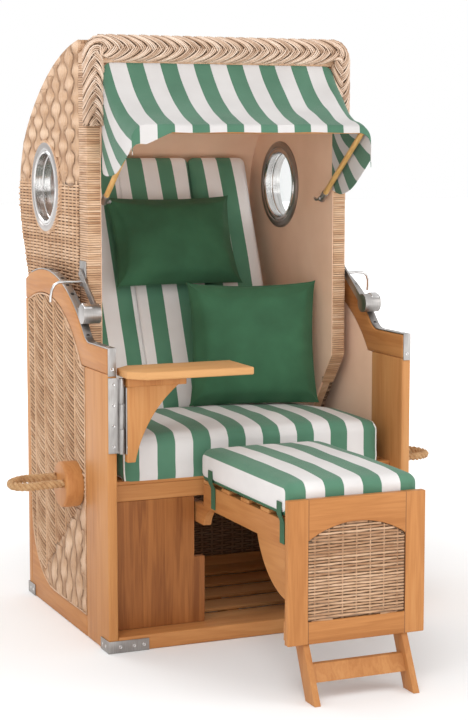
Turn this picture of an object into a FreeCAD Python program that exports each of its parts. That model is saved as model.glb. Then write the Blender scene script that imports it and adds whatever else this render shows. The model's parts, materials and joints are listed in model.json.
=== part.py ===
"""Hooded beach chair: a wicker hood that tilts between two arm frames, over a seat box with a foot stool,
a swinging side table and a folding awning. Millimetres, +Z up, the sitter looks along -Y, and the origin
is on the floor under the middle of the seat box."""
import FreeCAD, Part
import Sketcher
import math
import os
from FreeCAD import Vector, Placement, Rotation

doc = FreeCAD.newDocument("hooded_beach_chair")
sheet = doc.addObject("Spreadsheet::Sheet", "sizes")
nodes = []


class Size:
    """A length with both its number and the sheet expression that it comes from."""

    def __init__(self, value, text):
        self.value = value
        self.text = text

    def join(self, other, sign, value):
        return Size(value, "(" + self.text + " " + sign + " " + size(other).text + ")")

    def __add__(self, other):
        return self.join(other, "+", self.value + size(other).value)

    def __sub__(self, other):
        return self.join(other, "-", self.value - size(other).value)

    def __mul__(self, other):
        return self.join(other, "*", self.value * size(other).value)

    def __truediv__(self, other):
        return self.join(other, "/", self.value / size(other).value)

    def __radd__(self, other):
        return size(other) + self

    def __rsub__(self, other):
        return size(other) - self

    def __rmul__(self, other):
        return size(other) * self

    def __neg__(self):
        return Size(-self.value, "(0 - " + self.text + ")")


def size(number):
    """A plain number as a Size."""
    return number if isinstance(number, Size) else Size(float(number), repr(float(number)))


def root(number):
    return Size(math.sqrt(number.value), "sqrt(" + number.text + ")")


def cosine(degrees):
    return Size(math.cos(math.radians(degrees.value)), "cos(" + degrees.text + ")")


def sine(degrees):
    return Size(math.sin(math.radians(degrees.value)), "sin(" + degrees.text + ")")


def driving(name, value):
    """One driving dimension: a plain number in the sheet, under its alias."""
    driving.row += 1
    sheet.set("A" + str(driving.row), name)
    sheet.set("B" + str(driving.row), str(value))
    sheet.setAlias("B" + str(driving.row), name)
    return Size(float(value), "sizes." + name)


driving.row = 0


def bind(thing, prop, amount):
    """Set a property and tie it to the sheet."""
    thing.setExpression(prop, size(amount).text)


def keep(thing):
    nodes.append(thing)
    return thing


def board(label, low, high):
    """A straight plank between two corners."""
    plank = doc.addObject("Part::Box", label)
    plank.Label = label
    for axis, side, start, end in zip("xyz", ("Length", "Width", "Height"), low, high):
        bind(plank, side, size(end) - start)
        bind(plank, "Placement.Base." + axis, start)
    return plank


def round_bar(label, start, length, radius, turn):
    """A round bar from a start point, turned from +Z to its own axis."""
    bar = doc.addObject("Part::Cylinder", label)
    bar.Label = label
    bar.Placement = Placement(Vector(0, 0, 0), turn)
    bind(bar, "Radius", radius)
    bind(bar, "Height", length)
    for axis, place in zip("xyz", start):
        bind(bar, "Placement.Base." + axis, place)
    return bar


ALONG_X = Rotation(Vector(0, 1, 0), 90)
ALONG_Z = Rotation()


def arc_centre(a, b, bend):
    """Centre of the minor arc from a to b. A positive bend turns left."""
    across, up = b[0] - a[0], b[1] - a[1]
    chord = math.hypot(across, up)
    rise = math.sqrt(max(bend * bend - chord * chord / 4, 0.0)) * math.copysign(1, bend)
    return (a[0] + across / 2 - up / chord * rise, a[1] + up / 2 + across / chord * rise)


def pin_point(sketch, geometry, point, place, name):
    """Hold one sketch point at bound distances from the sketch's origin."""
    for kind, amount, axis in (("DistanceX", place[0], -2), ("DistanceY", place[1], -1)):
        if amount.value == 0:
            sketch.addConstraint(Sketcher.Constraint("PointOnObject", geometry, point, axis))
            continue
        ends = (-1, 1, geometry, point) if amount.value > 0 else (geometry, point, -1, 1)
        shown = amount if amount.value > 0 else -amount
        index = sketch.addConstraint(Sketcher.Constraint(kind, *ends, shown.value))
        sketch.renameConstraint(index, name + kind[-1])
        bind(sketch, "Constraints." + name + kind[-1], shown)


def draw_loop(sketch, corners, name):
    """A closed outline. A corner is (across, up), with the radius of the arc that leaves it as a third."""
    places = [(size(c[0]), size(c[1])) for c in corners]
    flat = [(p[0].value, p[1].value) for p in places]
    edges = []
    for i, corner in enumerate(corners):
        a, b = flat[i], flat[(i + 1) % len(flat)]
        bend = size(corner[2]) if len(corner) > 2 else None
        if bend is None:
            line = Part.LineSegment(Vector(a[0], a[1], 0), Vector(b[0], b[1], 0))
            edges.append((sketch.addGeometry(line), 1, 2))
            continue
        middle = arc_centre(a, b, bend.value)
        first, last = (a, b) if bend.value > 0 else (b, a)
        angles = [math.atan2(p[1] - middle[1], p[0] - middle[0]) for p in (first, last)]
        circle = Part.Circle(Vector(middle[0], middle[1], 0), Vector(0, 0, 1), abs(bend.value))
        index = sketch.addGeometry(Part.ArcOfCircle(circle, angles[0], angles[1]))
        edges.append((index, 1, 2) if bend.value > 0 else (index, 2, 1))
        index = sketch.addConstraint(Sketcher.Constraint("Radius", index, abs(bend.value)))
        sketch.renameConstraint(index, name + "bend" + str(i))
        bind(sketch, "Constraints." + name + "bend" + str(i), bend if bend.value > 0 else -bend)
    for i, edge in enumerate(edges):
        before = edges[i - 1]
        sketch.addConstraint(Sketcher.Constraint("Coincident", before[0], before[2], edge[0], edge[1]))
        pin_point(sketch, edge[0], edge[1], places[i], name + "corner" + str(i))


def draw_circle(sketch, centre, radius, name):
    middle = Vector(size(centre[0]).value, size(centre[1]).value, 0)
    circle = Part.Circle(middle, Vector(0, 0, 1), radius.value)
    index = sketch.addGeometry(circle)
    constraint = sketch.addConstraint(Sketcher.Constraint("Radius", index, radius.value))
    sketch.renameConstraint(constraint, name + "radius")
    bind(sketch, "Constraints." + name + "radius", radius)
    pin_point(sketch, index, 3, (size(centre[0]), size(centre[1])), name + "centre")


def plate(label, plane, outline, low, high, holes=(), bores=()):
    """A piece cut to an outline in the YZ, XZ or XY plane, between two depths, with holes through it."""
    body = doc.addObject("PartDesign::Body", label)
    body.Label = label
    base = [f for f in body.Origin.OriginFeatures if f.Role == plane + "_Plane"][0]
    sketch = body.newObject("Sketcher::SketchObject", label + "_outline")
    sketch.AttachmentSupport = [(base, "")]
    sketch.MapMode = "FlatFace"
    bind(sketch, "AttachmentOffset.Base.z", -size(high) if plane == "XZ" else size(low))
    draw_loop(sketch, outline, "edge")
    for i, hole in enumerate(holes):
        draw_loop(sketch, hole, "hole" + str(i))
    for i, (centre, radius) in enumerate(bores):
        draw_circle(sketch, centre, radius, "bore" + str(i))
    pad = body.newObject("PartDesign::Pad", label + "_pad")
    pad.Profile = sketch
    bind(pad, "Length", size(high) - low)
    return body


def group(label, pieces):
    """Several like pieces under one name."""
    compound = doc.addObject("Part::Compound", label)
    compound.Label = label
    compound.Links = pieces
    return compound


def joined(label, pieces):
    """Pieces glued or welded into one solid."""
    whole = doc.addObject("Part::MultiFuse", label)
    whole.Label = label
    whole.Shapes = pieces
    return whole


def cut(label, base, tool):
    result = doc.addObject("Part::Cut", label)
    result.Label = label
    result.Base = base
    result.Tool = tool
    return result


def shaped(label, shape, place=Placement()):
    """A soft or bent solid that is made from wires."""
    feature = doc.addObject("Part::Feature", label)
    feature.Label = label
    feature.Shape = shape
    feature.Placement = place
    return feature


# Driving dimensions: the seat box and its side frames
BASE_WIDTH = 880
base_width = driving("base_width", BASE_WIDTH)
BASE_DEPTH = 710
base_depth = driving("base_depth", BASE_DEPTH)
PLANK = 26
plank = driving("plank", PLANK)
POST_WIDTH = 180
post_width = driving("post_width", POST_WIDTH)
POST_TOP = 732
post_top = driving("post_top", POST_TOP)
REAR_POST = 30
rear_post = driving("rear_post", REAR_POST)
SIDE_RAIL = 57
side_rail = driving("side_rail", SIDE_RAIL)
GUSSET_RADIUS = 200
gusset_radius = driving("gusset_radius", GUSSET_RADIUS)
GUSSET_LIP = 10
gusset_lip = driving("gusset_lip", GUSSET_LIP)
PIVOT_BACK = 178
pivot_y = driving("pivot_back", PIVOT_BACK)
PIVOT_HEIGHT = 500
pivot_z = driving("pivot_height", PIVOT_HEIGHT)
ARM_RADIUS = 465
arm_radius = driving("arm_radius", ARM_RADIUS)
ARM_BAND = 65
arm_band = driving("arm_band", ARM_BAND)
ARM_FRONT_TOP = 797
arm_flat = driving("arm_front_top", ARM_FRONT_TOP)
ARM_FILLET = 60
arm_fillet = driving("arm_fillet", ARM_FILLET)
SIDE_WICKER = 8
side_wicker = driving("side_wicker", SIDE_WICKER)
SIDE_INSET = 2
side_inset = driving("side_inset", SIDE_INSET)
SIDE_LINING = 4
side_lining = driving("side_lining", SIDE_LINING)
STRIP_THICK = 3
strip_thick = driving("strip_thick", STRIP_THICK)
STRIP_DROP = 70
strip_drop = driving("strip_drop", STRIP_DROP)
STRIP_REACH = 300
strip_reach = driving("strip_reach", STRIP_REACH)
CURVE_CLEARANCE = 0.3
ease = driving("curve_clearance", CURVE_CLEARANCE)

half = base_width / 2
inner = half - plank
front = -(base_depth / 2)
back = base_depth / 2
post_back = front + post_width
rear_front = back - rear_post
band_inner = arm_radius - arm_band
arm_rear_low = pivot_z + root(band_inner * band_inner - (rear_front - pivot_y) * (rear_front - pivot_y))
arm_rear_top = pivot_z + root(arm_radius * arm_radius - (back - pivot_y) * (back - pivot_y))
arm_toe = pivot_y - root(band_inner * band_inner - (post_top - pivot_z) * (post_top - pivot_z))


def arm_top(lift):
    """The concave turn from the sloping arm to its flat front, lifted off the wood by a set amount."""
    reach = arm_radius + arm_fillet
    rise = arm_flat + arm_fillet - pivot_z
    run = root(reach * reach - rise * rise)
    share = (arm_radius + lift) / reach
    slope_end = (pivot_y - run * share, pivot_z + rise * share)
    return slope_end, (pivot_y - run, arm_flat + lift)


def arm_height(along, lift):
    """Height of the arched arm's top, lifted off the wood, at a place along the chair."""
    reach = arm_radius + lift
    return pivot_z + root(reach * reach - (along - pivot_y) * (along - pivot_y))


gusset_front = rear_front - gusset_lip - gusset_radius
gusset_top = side_rail + gusset_radius
skin_radius = band_inner - ease
skin_toe = pivot_y - root(skin_radius * skin_radius - (post_top - pivot_z) * (post_top - pivot_z))
skin_rear = pivot_z + root(skin_radius * skin_radius - (rear_front - pivot_y) * (rear_front - pivot_y))
side_skin = [
    (post_back, side_rail + ease), (gusset_front, side_rail + ease, gusset_radius - ease),
    (rear_front - gusset_lip - ease, gusset_top), (rear_front, gusset_top),
    (rear_front, skin_rear, skin_radius), (skin_toe, post_top), (post_back, post_top)]


def between(side, near, far):
    """Depths on one side of the chair, from two distances off the middle, low end first."""
    return (near, far) if side == "right" else (-far, -near)


def side_frame(side):
    """One side frame: two posts, a bottom rail with its rear gusset, the arched arm and the woven panel."""
    low, high = between(side, inner, half)
    fronts.append(board(side + "_front_post", (low, front, 0), (high, post_back, post_top)))
    rears.append(board(side + "_rear_post", (low, rear_front, 0), (high, back, arm_rear_low)))
    sills.append(plate(side + "_bottom_rail", "YZ", [
        (post_back, 0), (rear_front, 0), (rear_front, gusset_top),
        (rear_front - gusset_lip, gusset_top, -gusset_radius),
        (gusset_front, side_rail), (post_back, side_rail)], low, high))
    slope_end, flat_start = arm_top(size(0))
    keep(plate(side + "_arm_rail", "YZ", [
        (back, arm_rear_top, arm_radius), (slope_end[0], slope_end[1], -arm_fillet), flat_start,
        (front, arm_flat), (front, post_top), (arm_toe, post_top, -band_inner),
        (rear_front, arm_rear_low), (back, arm_rear_low)], low, high))
    low, high = between(side, half - side_inset - side_wicker, half - side_inset)
    keep(plate(side + "_side_wicker", "YZ", side_skin, low, high))


def arm_strip(side):
    """The steel strip that the hood's lock runs on, over the arm and down the front of the post."""
    low, high = between(side, inner + side_inset, half - side_inset)
    under = ease
    over = ease + strip_thick
    slope_over, flat_over = arm_top(over)
    slope_under, flat_under = arm_top(under)
    foot = arm_flat - strip_drop
    strips.append(plate(side + "_arm_strip", "YZ", [
        (strip_reach, arm_height(strip_reach, over), arm_radius + over),
        (slope_over[0], slope_over[1], over - arm_fillet), flat_over,
        (front - over, arm_flat + over), (front - over, foot), (front - under, foot),
        (front - under, arm_flat + under), (flat_under[0], flat_under[1], arm_fillet - under),
        (slope_under[0], slope_under[1], -(arm_radius + under)),
        (strip_reach, arm_height(strip_reach, under))], low, high))


fronts = []
rears = []
sills = []
strips = []
for hand in ("left", "right"):
    side_frame(hand)
    arm_strip(hand)
keep(group("front_posts", fronts))
keep(group("rear_posts", rears))
keep(group("bottom_rails", sills))
keep(group("arm_strips", strips))
linings = []
for hand in ("left", "right"):
    near, far = between(hand, inner + side_inset, inner + side_inset + side_lining)
    linings.append(plate(hand + "_side_lining", "YZ", side_skin, near, far))
keep(group("side_linings", linings))

# The seat box: rails, front boards round the stool's doorway, slatted deck and floor, woven back
FRONT_RECESS = 64
front_recess = driving("front_recess", FRONT_RECESS)
PANEL_THICK = 20
panel_thick = driving("panel_thick", PANEL_THICK)
FRONT_RAIL = 40
front_rail = driving("front_rail", FRONT_RAIL)
SEAT_DECK = 429
seat_deck = driving("seat_deck", SEAT_DECK)
SEAT_RAIL = 44
seat_rail = driving("seat_rail", SEAT_RAIL)
SLAT_THICK = 10
slat_thick = driving("slat_thick", SLAT_THICK)
SLAT_WIDTH = 50
slat_width = driving("slat_width", SLAT_WIDTH)
DECK_REAR = 140
deck_rear = driving("deck_rear", DECK_REAR)
DOOR_WIDTH = 350
door_width = driving("door_width", DOOR_WIDTH)
NOTCH_WIDTH = 290
notch_width = driving("notch_width", NOTCH_WIDTH)
NOTCH_TOP = 220
notch_top = driving("notch_top", NOTCH_TOP)
REAR_RAIL_TOP = 440
rear_rail_top = driving("rear_rail_top", REAR_RAIL_TOP)
REAR_RAIL = 45
rear_rail = driving("rear_rail", REAR_RAIL)
FLOOR_SLAT = 90
floor_slat = driving("floor_slat", FLOOR_SLAT)
FLOOR_HEIGHT = 20
floor_height = driving("floor_height", FLOOR_HEIGHT)
BEARER_WIDTH = 30
bearer_width = driving("bearer_width", BEARER_WIDTH)
SEAT_SLATS = 7
FLOOR_SLATS = 5

face = front + front_recess
face_back = face + panel_thick
rail_low = seat_deck - seat_rail
deck_top = seat_deck + slat_thick
keep(board("front_bottom_rail", (-inner, front, 0), (inner, face_back, front_rail)))
keep(board("rear_bottom_rail", (-inner, rear_front, 0), (inner, back, side_rail)))
keep(board("rear_top_rail", (-inner, rear_front, rear_rail_top - rear_rail), (inner, back, rear_rail_top)))
weave_front = rear_front + (rear_post - side_wicker) / 2
keep(board("rear_wicker", (-inner, weave_front, side_rail),
           (inner, weave_front + side_wicker, rear_rail_top - rear_rail)))
keep(board("seat_front_rail", (-inner, face, rail_low), (inner, face_back, seat_deck)))
panels = []
for hand, sign in (("left", -1), ("right", 1)):
    corners = [(inner, front_rail), (inner, rail_low), (door_width / 2, rail_low),
               (door_width / 2, notch_top), (notch_width / 2, notch_top), (notch_width / 2, front_rail)]
    panels.append(plate(hand + "_front_panel", "XZ", [(sign * x, z) for x, z in corners], face, face_back))
keep(group("front_panels", panels))
keep(group("seat_bearers", [
    board(hand + "_seat_bearer", (near, face_back, rail_low), (far, deck_rear, seat_deck))
    for hand in ("left", "right") for near, far in (between(hand, inner - bearer_width, inner),)]))


def slats(label, count, width, start, end, bottom, reach, more=()):
    """Evenly spaced slats across the chair between two places along it, with what is fixed to them."""
    step = (end - start - width) / (count - 1)
    boards = []
    for i in range(count):
        near = start + step * i
        boards.append(board(label + str(i), (-reach, near, bottom),
                            (reach, near + width, bottom + slat_thick)))
    return keep(group(label, boards + list(more)))


slats("seat_slats", SEAT_SLATS, slat_width, face, deck_rear, seat_deck, inner)
BEARER_HALF = 20
bearer_half = driving("bearer_half", BEARER_HALF)
floor_bearer = board("floor_bearer", (-bearer_half, face_back, 0), (bearer_half, rear_front, floor_height))
slats("floor_slats", FLOOR_SLATS, floor_slat, face_back, rear_front, floor_height, inner, [floor_bearer])

# Steel corner brackets, and the turned bosses that hold the rope handles
BRACKET_THICK = 3
bracket_thick = driving("bracket_thick", BRACKET_THICK)
BRACKET_HEIGHT = 32
bracket_height = driving("bracket_height", BRACKET_HEIGHT)
BRACKET_FRONT = 110
bracket_front = driving("bracket_front", BRACKET_FRONT)
BRACKET_SIDE = 60
bracket_side = driving("bracket_side", BRACKET_SIDE)
BOSS_RADIUS = 62
boss_radius = driving("boss_radius", BOSS_RADIUS)
BOSS_DEPTH = 52
boss_depth = driving("boss_depth", BOSS_DEPTH)
BOSS_AHEAD = 105
boss_y = driving("boss_ahead", BOSS_AHEAD)
BOSS_HEIGHT = 407
boss_z = driving("boss_height", BOSS_HEIGHT)
ROPE_RADIUS = 11
rope_radius = driving("rope_radius", ROPE_RADIUS)
ROPE_REACH = 130
rope_reach = driving("rope_reach", ROPE_REACH)
ROPE_SPREAD = 36
rope_spread = driving("rope_spread", ROPE_SPREAD)
ROPE_RISE = 17
rope_rise = driving("rope_rise", ROPE_RISE)

brackets = []
for x in (-1, 1):
    for y in (-1, 1):
        corner = [(half + bracket_thick, back + bracket_thick), (half - bracket_front, back + bracket_thick),
                  (half - bracket_front, back), (half, back), (half, back - bracket_side),
                  (half + bracket_thick, back - bracket_side)]
        brackets.append(plate("corner_bracket" + str(len(brackets)), "XY",
                              [(x * a, y * b) for a, b in corner], 0, bracket_height))
keep(group("corner_brackets", brackets))
boss_face = half - side_inset + boss_depth
keep(group("rope_bosses", [
    round_bar(hand + "_rope_boss", (near, -boss_y, boss_z), boss_depth, boss_radius, ALONG_X)
    for hand in ("left", "right") for near, far in (between(hand, boss_face - boss_depth, boss_face),)]))


def rope_route(side):
    """Points of one rope handle, from its rear exit round to its front exit, as shares of its size."""
    sign = 1 if side == "right" else -1
    start = (boss_face + ease).value
    shares = [(0, 0.96, 0.9), (0.35, 0.96, 0.9), (0.71, 0.94, 0.88), (0.985, 0.47, 0.65), (1, -0.47, 0.47),
              (0.72, -0.94, 0.37), (0.36, -0.96, 0.47), (0, -0.96, 0.47)]
    return [Vector(sign * (start + out * rope_reach.value), along * rope_spread.value - boss_y.value,
                   boss_z.value + up * rope_rise.value) for out, along, up in shares]


def rope(label, points, radius):
    """A tube along straight runs joined by the largest tangent arcs that the runs allow."""
    edges = []
    radii = []
    here = points[0]
    for before, corner, after in zip(points, points[1:], points[2:]):
        inward, onward = (corner - before).normalize(), (after - corner).normalize()
        turn = inward.getAngle(onward)
        reach = 0.45 * min((corner - before).Length, (after - corner).Length)
        radii.append(reach / math.tan(turn / 2))
        first, last = corner - inward * reach, corner + onward * reach
        middle = corner + (onward - inward).normalize() * (radii[-1] / math.cos(turn / 2) - radii[-1])
        edges += [Part.LineSegment(here, first).toShape(), Part.Arc(first, middle, last).toShape()]
        here = last
    edges.append(Part.LineSegment(here, points[-1]).toShape())
    path = Part.Wire(edges)
    ring = Part.Wire(Part.Circle(points[0], points[1] - points[0], radius).toShape())
    tube = path.makePipeShell([ring], True, False)
    share = tube.Volume / (math.pi * radius * radius * path.Length)
    print(label, "length", round(path.Length), "volume share", round(share, 4),
          "radii", [round(r) for r in radii])
    return keep(shaped(label, tube))


for hand in ("left", "right"):
    rope(hand + "_rope_handle", rope_route(hand), rope_radius.value)

# The hood's outline, seen from the side: front posts, roof, round crown, leaning back and pivot tip
HOOD_GAP = 27
hood_gap = driving("hood_gap", HOOD_GAP)
HOOD_WICKER = 10
hood_wicker = driving("hood_wicker", HOOD_WICKER)
HOOD_CORE = 22
hood_core = driving("hood_core", HOOD_CORE)
HOOD_LINING = 5
hood_lining = driving("hood_lining", HOOD_LINING)
HOOD_HOLLOW = 25
hood_hollow = driving("hood_hollow", HOOD_HOLLOW)
HOOD_FRONT = 56
hood_front = driving("hood_front", HOOD_FRONT)
HOOD_POST = 68
hood_post = driving("hood_post", HOOD_POST)
HOOD_TOP = 1600
hood_top = driving("hood_top", HOOD_TOP)
ROOF_FALL = 6
roof_fall = driving("roof_fall", ROOF_FALL)
hood_roof = hood_top - roof_fall
HOOD_LOW = 713
hood_low = driving("hood_low", HOOD_LOW)
CROWN_BACK = 288
crown_y = driving("crown_back", CROWN_BACK)
CROWN_HEIGHT = 1160
crown_z = driving("crown_height", CROWN_HEIGHT)
CROWN_RADIUS = 290
crown_radius = driving("crown_radius", CROWN_RADIUS)
CROWN_TURN = 47.4
crown_turn = driving("crown_turn", CROWN_TURN)
ROOF_RADIUS = 862
roof_radius = driving("roof_radius", ROOF_RADIUS)
BACK_LEAN = 25
back_lean = driving("back_lean", BACK_LEAN)
BACK_LOW = 660
back_low = driving("back_low", BACK_LOW)
TIP_RADIUS = 55
tip_radius = driving("tip_radius", TIP_RADIUS)
TIP_FRONT = 142.3
tip_front = driving("tip_front", TIP_FRONT)
TIP_REAR = 37.1
tip_rear = driving("tip_rear", TIP_REAR)
BOLT_RADIUS = 8
bolt_radius = driving("bolt_radius", BOLT_RADIUS)
RUNNING_FIT = 0.05
running_fit = driving("running_fit", RUNNING_FIT)
BRAID_HEIGHT = 70
braid_height = driving("braid_height", BRAID_HEIGHT)
BRAID_THICK = 18
braid_thick = driving("braid_thick", BRAID_THICK)
BRAID_DROP = 255
braid_drop = driving("braid_drop", BRAID_DROP)
BRAID_ROUND = 40
braid_round = driving("braid_round", BRAID_ROUND)

hood_half = inner - hood_gap
post_in = hood_half - hood_wicker - hood_core - hood_lining
hood_y = -hood_front
frame_y = hood_y + hood_post
tip_front_y = pivot_y + tip_radius * cosine(tip_front)
tip_front_z = pivot_z - tip_radius * sine(tip_front)
edge_slope = (hood_low - tip_front_z) / (tip_front_y - hood_y)
edge_low = hood_low - edge_slope * hood_post
slope = sine(back_lean) / cosine(back_lean)


def hood_back(depth):
    """Roof and back points at a depth below the woven surface: lower end, crown start, crown end, front."""
    reach = crown_radius - depth
    heel = (crown_y + reach * cosine(back_lean), crown_z - reach * sine(back_lean))
    toe = (heel[0] - (heel[1] - back_low) * slope, back_low)
    brow = (crown_y + reach * cosine(crown_turn), crown_z + reach * sine(crown_turn))
    return toe, heel, brow, (frame_y, hood_roof - depth)


def hood_outline(depth):
    """A whole side panel of the hood, set in by a depth from the woven roof and back."""
    toe, heel, brow, crest = hood_back(depth)
    rear_tip = (pivot_y + tip_radius * cosine(tip_rear), pivot_z - tip_radius * sine(tip_rear))
    return [(frame_y, edge_low), (tip_front_y, tip_front_z, tip_radius), rear_tip, toe,
            (heel[0], heel[1], crown_radius - depth), (brow[0], brow[1], roof_radius - depth), crest]


def hood_shell(label, outside, inside, reach):
    """A curved sheet over the roof and down the back, between two depths below the surface."""
    toe, heel, brow, crest = hood_back(outside)
    toe_in, heel_in, brow_in, crest_in = hood_back(inside)
    outline = [toe, (heel[0], heel[1], crown_radius - outside),
               (brow[0], brow[1], roof_radius - outside), crest,
               (crest_in[0], crest_in[1], inside - roof_radius),
               (brow_in[0], brow_in[1], inside - crown_radius),
               heel_in, toe_in]
    return keep(plate(label, "YZ", outline, -reach, reach))


PORT_BACK = 306
port_y = driving("port_back", PORT_BACK)
PORT_HEIGHT = 1192
port_z = driving("port_height", PORT_HEIGHT)
PORT_RADIUS = 105
port_radius = driving("port_radius", PORT_RADIUS)
PORT_FLANGE = 130
port_flange = driving("port_flange", PORT_FLANGE)
PORT_LIP = 8
port_lip = driving("port_lip", PORT_LIP)
PORT_WALL = 10
port_wall = driving("port_wall", PORT_WALL)
GLASS_THICK = 5
glass_thick = driving("glass_thick", GLASS_THICK)

bolt_bore = ((pivot_y, pivot_z), bolt_radius + running_fit)
port_bore = ((port_y, port_z), port_radius + ease)
core_out = hood_half - hood_wicker
lining_out = core_out - hood_core
lining_depth = hood_wicker + hood_hollow
for hand in ("left", "right"):
    near, far = between(hand, core_out, hood_half)
    keep(plate(hand + "_hood_wicker", "YZ", hood_outline(size(0)), near, far, bores=(bolt_bore, port_bore)))
cores = []
linings = []
for hand in ("left", "right"):
    near, far = between(hand, lining_out, core_out)
    cores.append(plate(hand + "_hood_core", "YZ", hood_outline(hood_wicker + ease), near, far,
                       bores=(bolt_bore, port_bore)))
    near, far = between(hand, post_in, lining_out)
    linings.append(plate(hand + "_hood_lining", "YZ",
                         hood_outline(lining_depth + hood_lining + ease), near, far,
                         bores=(bolt_bore, port_bore)))
keep(group("hood_side_cores", cores))
keep(group("hood_side_linings", linings))
hood_shell("hood_back_wicker", size(0), hood_wicker, core_out)
hood_shell("hood_back_lining", lining_depth, lining_depth + hood_lining, lining_out)
BACK_RAIL = 30
back_rail = driving("back_rail", BACK_RAIL)
toe_out = hood_back(hood_wicker)[0]
toe_in = hood_back(lining_depth)[0]
keep(plate("hood_back_rail", "YZ", [
    toe_in, toe_out, (toe_out[0] + back_rail * slope, back_low + back_rail),
    (toe_in[0] + back_rail * slope, back_low + back_rail)], -lining_out, lining_out))

# Front posts wrapped in cane, the top rail between them, and the braid that edges the hood
posts = []
rail_under = hood_top - braid_height
for hand in ("left", "right"):
    near, far = between(hand, post_in, hood_half)
    posts.append(plate(hand + "_hood_post", "YZ", [
        (hood_y, hood_low), (frame_y, edge_low), (frame_y, rail_under), (hood_y, rail_under)], near, far))
keep(group("hood_posts", posts))
keep(plate("hood_top_rail", "YZ", [
    (hood_y, rail_under), (frame_y, rail_under), (frame_y, hood_roof), (hood_y, hood_top)],
    -hood_half, hood_half))
keep(plate("hood_braid", "XZ", [
    (post_in, rail_under), (post_in, hood_top - braid_drop), (hood_half, hood_top - braid_drop),
    (hood_half, hood_top - braid_round, braid_round), (hood_half - braid_round, hood_top),
    (braid_round - hood_half, hood_top, braid_round), (-hood_half, hood_top - braid_round),
    (-hood_half, hood_top - braid_drop), (-post_in, hood_top - braid_drop), (-post_in, rail_under)],
    hood_y - braid_thick, hood_y))

# Portholes: a flanged steel ring through each side wall, with a pane of glass in it
frames = []
panes = []
for hand in ("left", "right"):
    rings = []
    for name, near, far, radius in (
            ("outer", hood_half, hood_half + port_lip, port_flange),
            ("barrel", post_in - port_lip, hood_half + port_lip, port_radius),
            ("inner", post_in - port_lip, post_in, port_flange)):
        low, high = between(hand, near, far)
        rings.append(round_bar(hand + "_port_" + name, (low, port_y, port_z), far - near, radius, ALONG_X))
    low, high = between(hand, post_in - port_lip, hood_half + port_lip)
    bore = round_bar(hand + "_port_bore", (low, port_y, port_z), hood_half - post_in + port_lip * 2,
                     port_radius - port_wall, ALONG_X)
    frames.append(cut(hand + "_porthole_frame", joined(hand + "_port_ring", rings), bore))
    low, high = between(hand, lining_out + glass_thick, lining_out + glass_thick * 2)
    panes.append(round_bar(hand + "_port_pane", (low, port_y, port_z), glass_thick,
                           port_radius - port_wall - ease, ALONG_X))
keep(group("porthole_frames", frames))
keep(group("porthole_glass", panes))

# Pivot bolts: each carries the hood on a spacer and a flange against the side frame
BOLT_HEAD = 16
bolt_head = driving("bolt_head", BOLT_HEAD)
BOLT_CAP = 8
bolt_cap = driving("bolt_cap", BOLT_CAP)
SPACER_RADIUS = 20
spacer_radius = driving("spacer_radius", SPACER_RADIUS)
FLANGE_RADIUS = 30
flange_radius = driving("flange_radius", FLANGE_RADIUS)
FLANGE_THICK = 6
flange_thick = driving("flange_thick", FLANGE_THICK)
bolts = []
wall_face = inner + side_inset
for hand in ("left", "right"):
    steps = []
    for name, near, far, radius in (
            ("head", post_in - ease - bolt_cap, post_in - ease, bolt_head),
            ("shank", post_in - ease - bolt_cap, wall_face, bolt_radius),
            ("spacer", hood_half + ease, wall_face, spacer_radius),
            ("flange", wall_face - flange_thick, wall_face, flange_radius)):
        low, high = between(hand, near, far)
        steps.append(round_bar(hand + "_bolt_" + name, (low, pivot_y, pivot_z), far - near, radius, ALONG_X))
    bolts.append(joined(hand + "_pivot_bolt", steps))
keep(group("hood_pivot_bolts", bolts))

# Lock plates on the hood, and the swinging levers whose rollers sit on the arm strips
LOCK_PLATE = 4
lock_plate = driving("lock_plate", LOCK_PLATE)
LOCK_WIDTH = 50
lock_width = driving("lock_width", LOCK_WIDTH)
LOCK_HEIGHT = 70
lock_height = driving("lock_height", LOCK_HEIGHT)
LOCK_AHEAD = 20
lock_y = driving("lock_ahead", LOCK_AHEAD)
LOCK_RISE = 465
lock_rise = driving("lock_rise", LOCK_RISE)
lock_z = pivot_z + lock_rise
LOCK_PIN = 5
lock_pin = driving("lock_pin", LOCK_PIN)
LEVER_THICK = 6
lever_thick = driving("lever_thick", LEVER_THICK)
LEVER_WIDTH = 22
lever_width = driving("lever_width", LEVER_WIDTH)
LEVER_GAP = 1
lever_gap = driving("lever_gap", LEVER_GAP)
ROLLER_RADIUS = 26
roller_radius = driving("roller_radius", ROLLER_RADIUS)
ROLLER_GAP = 2
roller_gap = driving("roller_gap", ROLLER_GAP)
ROLLER_ANGLE = 132
roller_angle = driving("roller_angle", ROLLER_ANGLE)

roller_reach = arm_radius + ease + strip_thick + roller_gap + roller_radius
roller_y = pivot_y + roller_reach * cosine(roller_angle)
roller_z = pivot_z + roller_reach * sine(roller_angle)
plate_out = hood_half + lock_plate
lever_in = plate_out + lever_gap
lever_out = lever_in + lever_thick
plates = []
for hand in ("left", "right"):
    low, high = between(hand, hood_half, plate_out)
    backing = board(hand + "_lock_backing", (low, -lock_y - lock_width / 2, lock_z - lock_height / 2),
                    (high, lock_width / 2 - lock_y, lock_z + lock_height / 2))
    low, high = between(hand, hood_half, lever_out + lever_gap)
    stud = round_bar(hand + "_lock_stud", (low, -lock_y, lock_z),
                     lever_out + lever_gap - hood_half, lock_pin,
                     ALONG_X)
    plates.append(joined(hand + "_lock_plate", [backing, stud]))
keep(group("hood_lock_plates", plates))
reach_y = roller_y + lock_y
reach_z = roller_z - lock_z
lever_length = root(reach_y * reach_y + reach_z * reach_z)
along_y, along_z = reach_y / lever_length, reach_z / lever_length


def lever_point(along, across):
    return (along_y * along - along_z * across - lock_y, along_z * along + along_y * across + lock_z)


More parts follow.
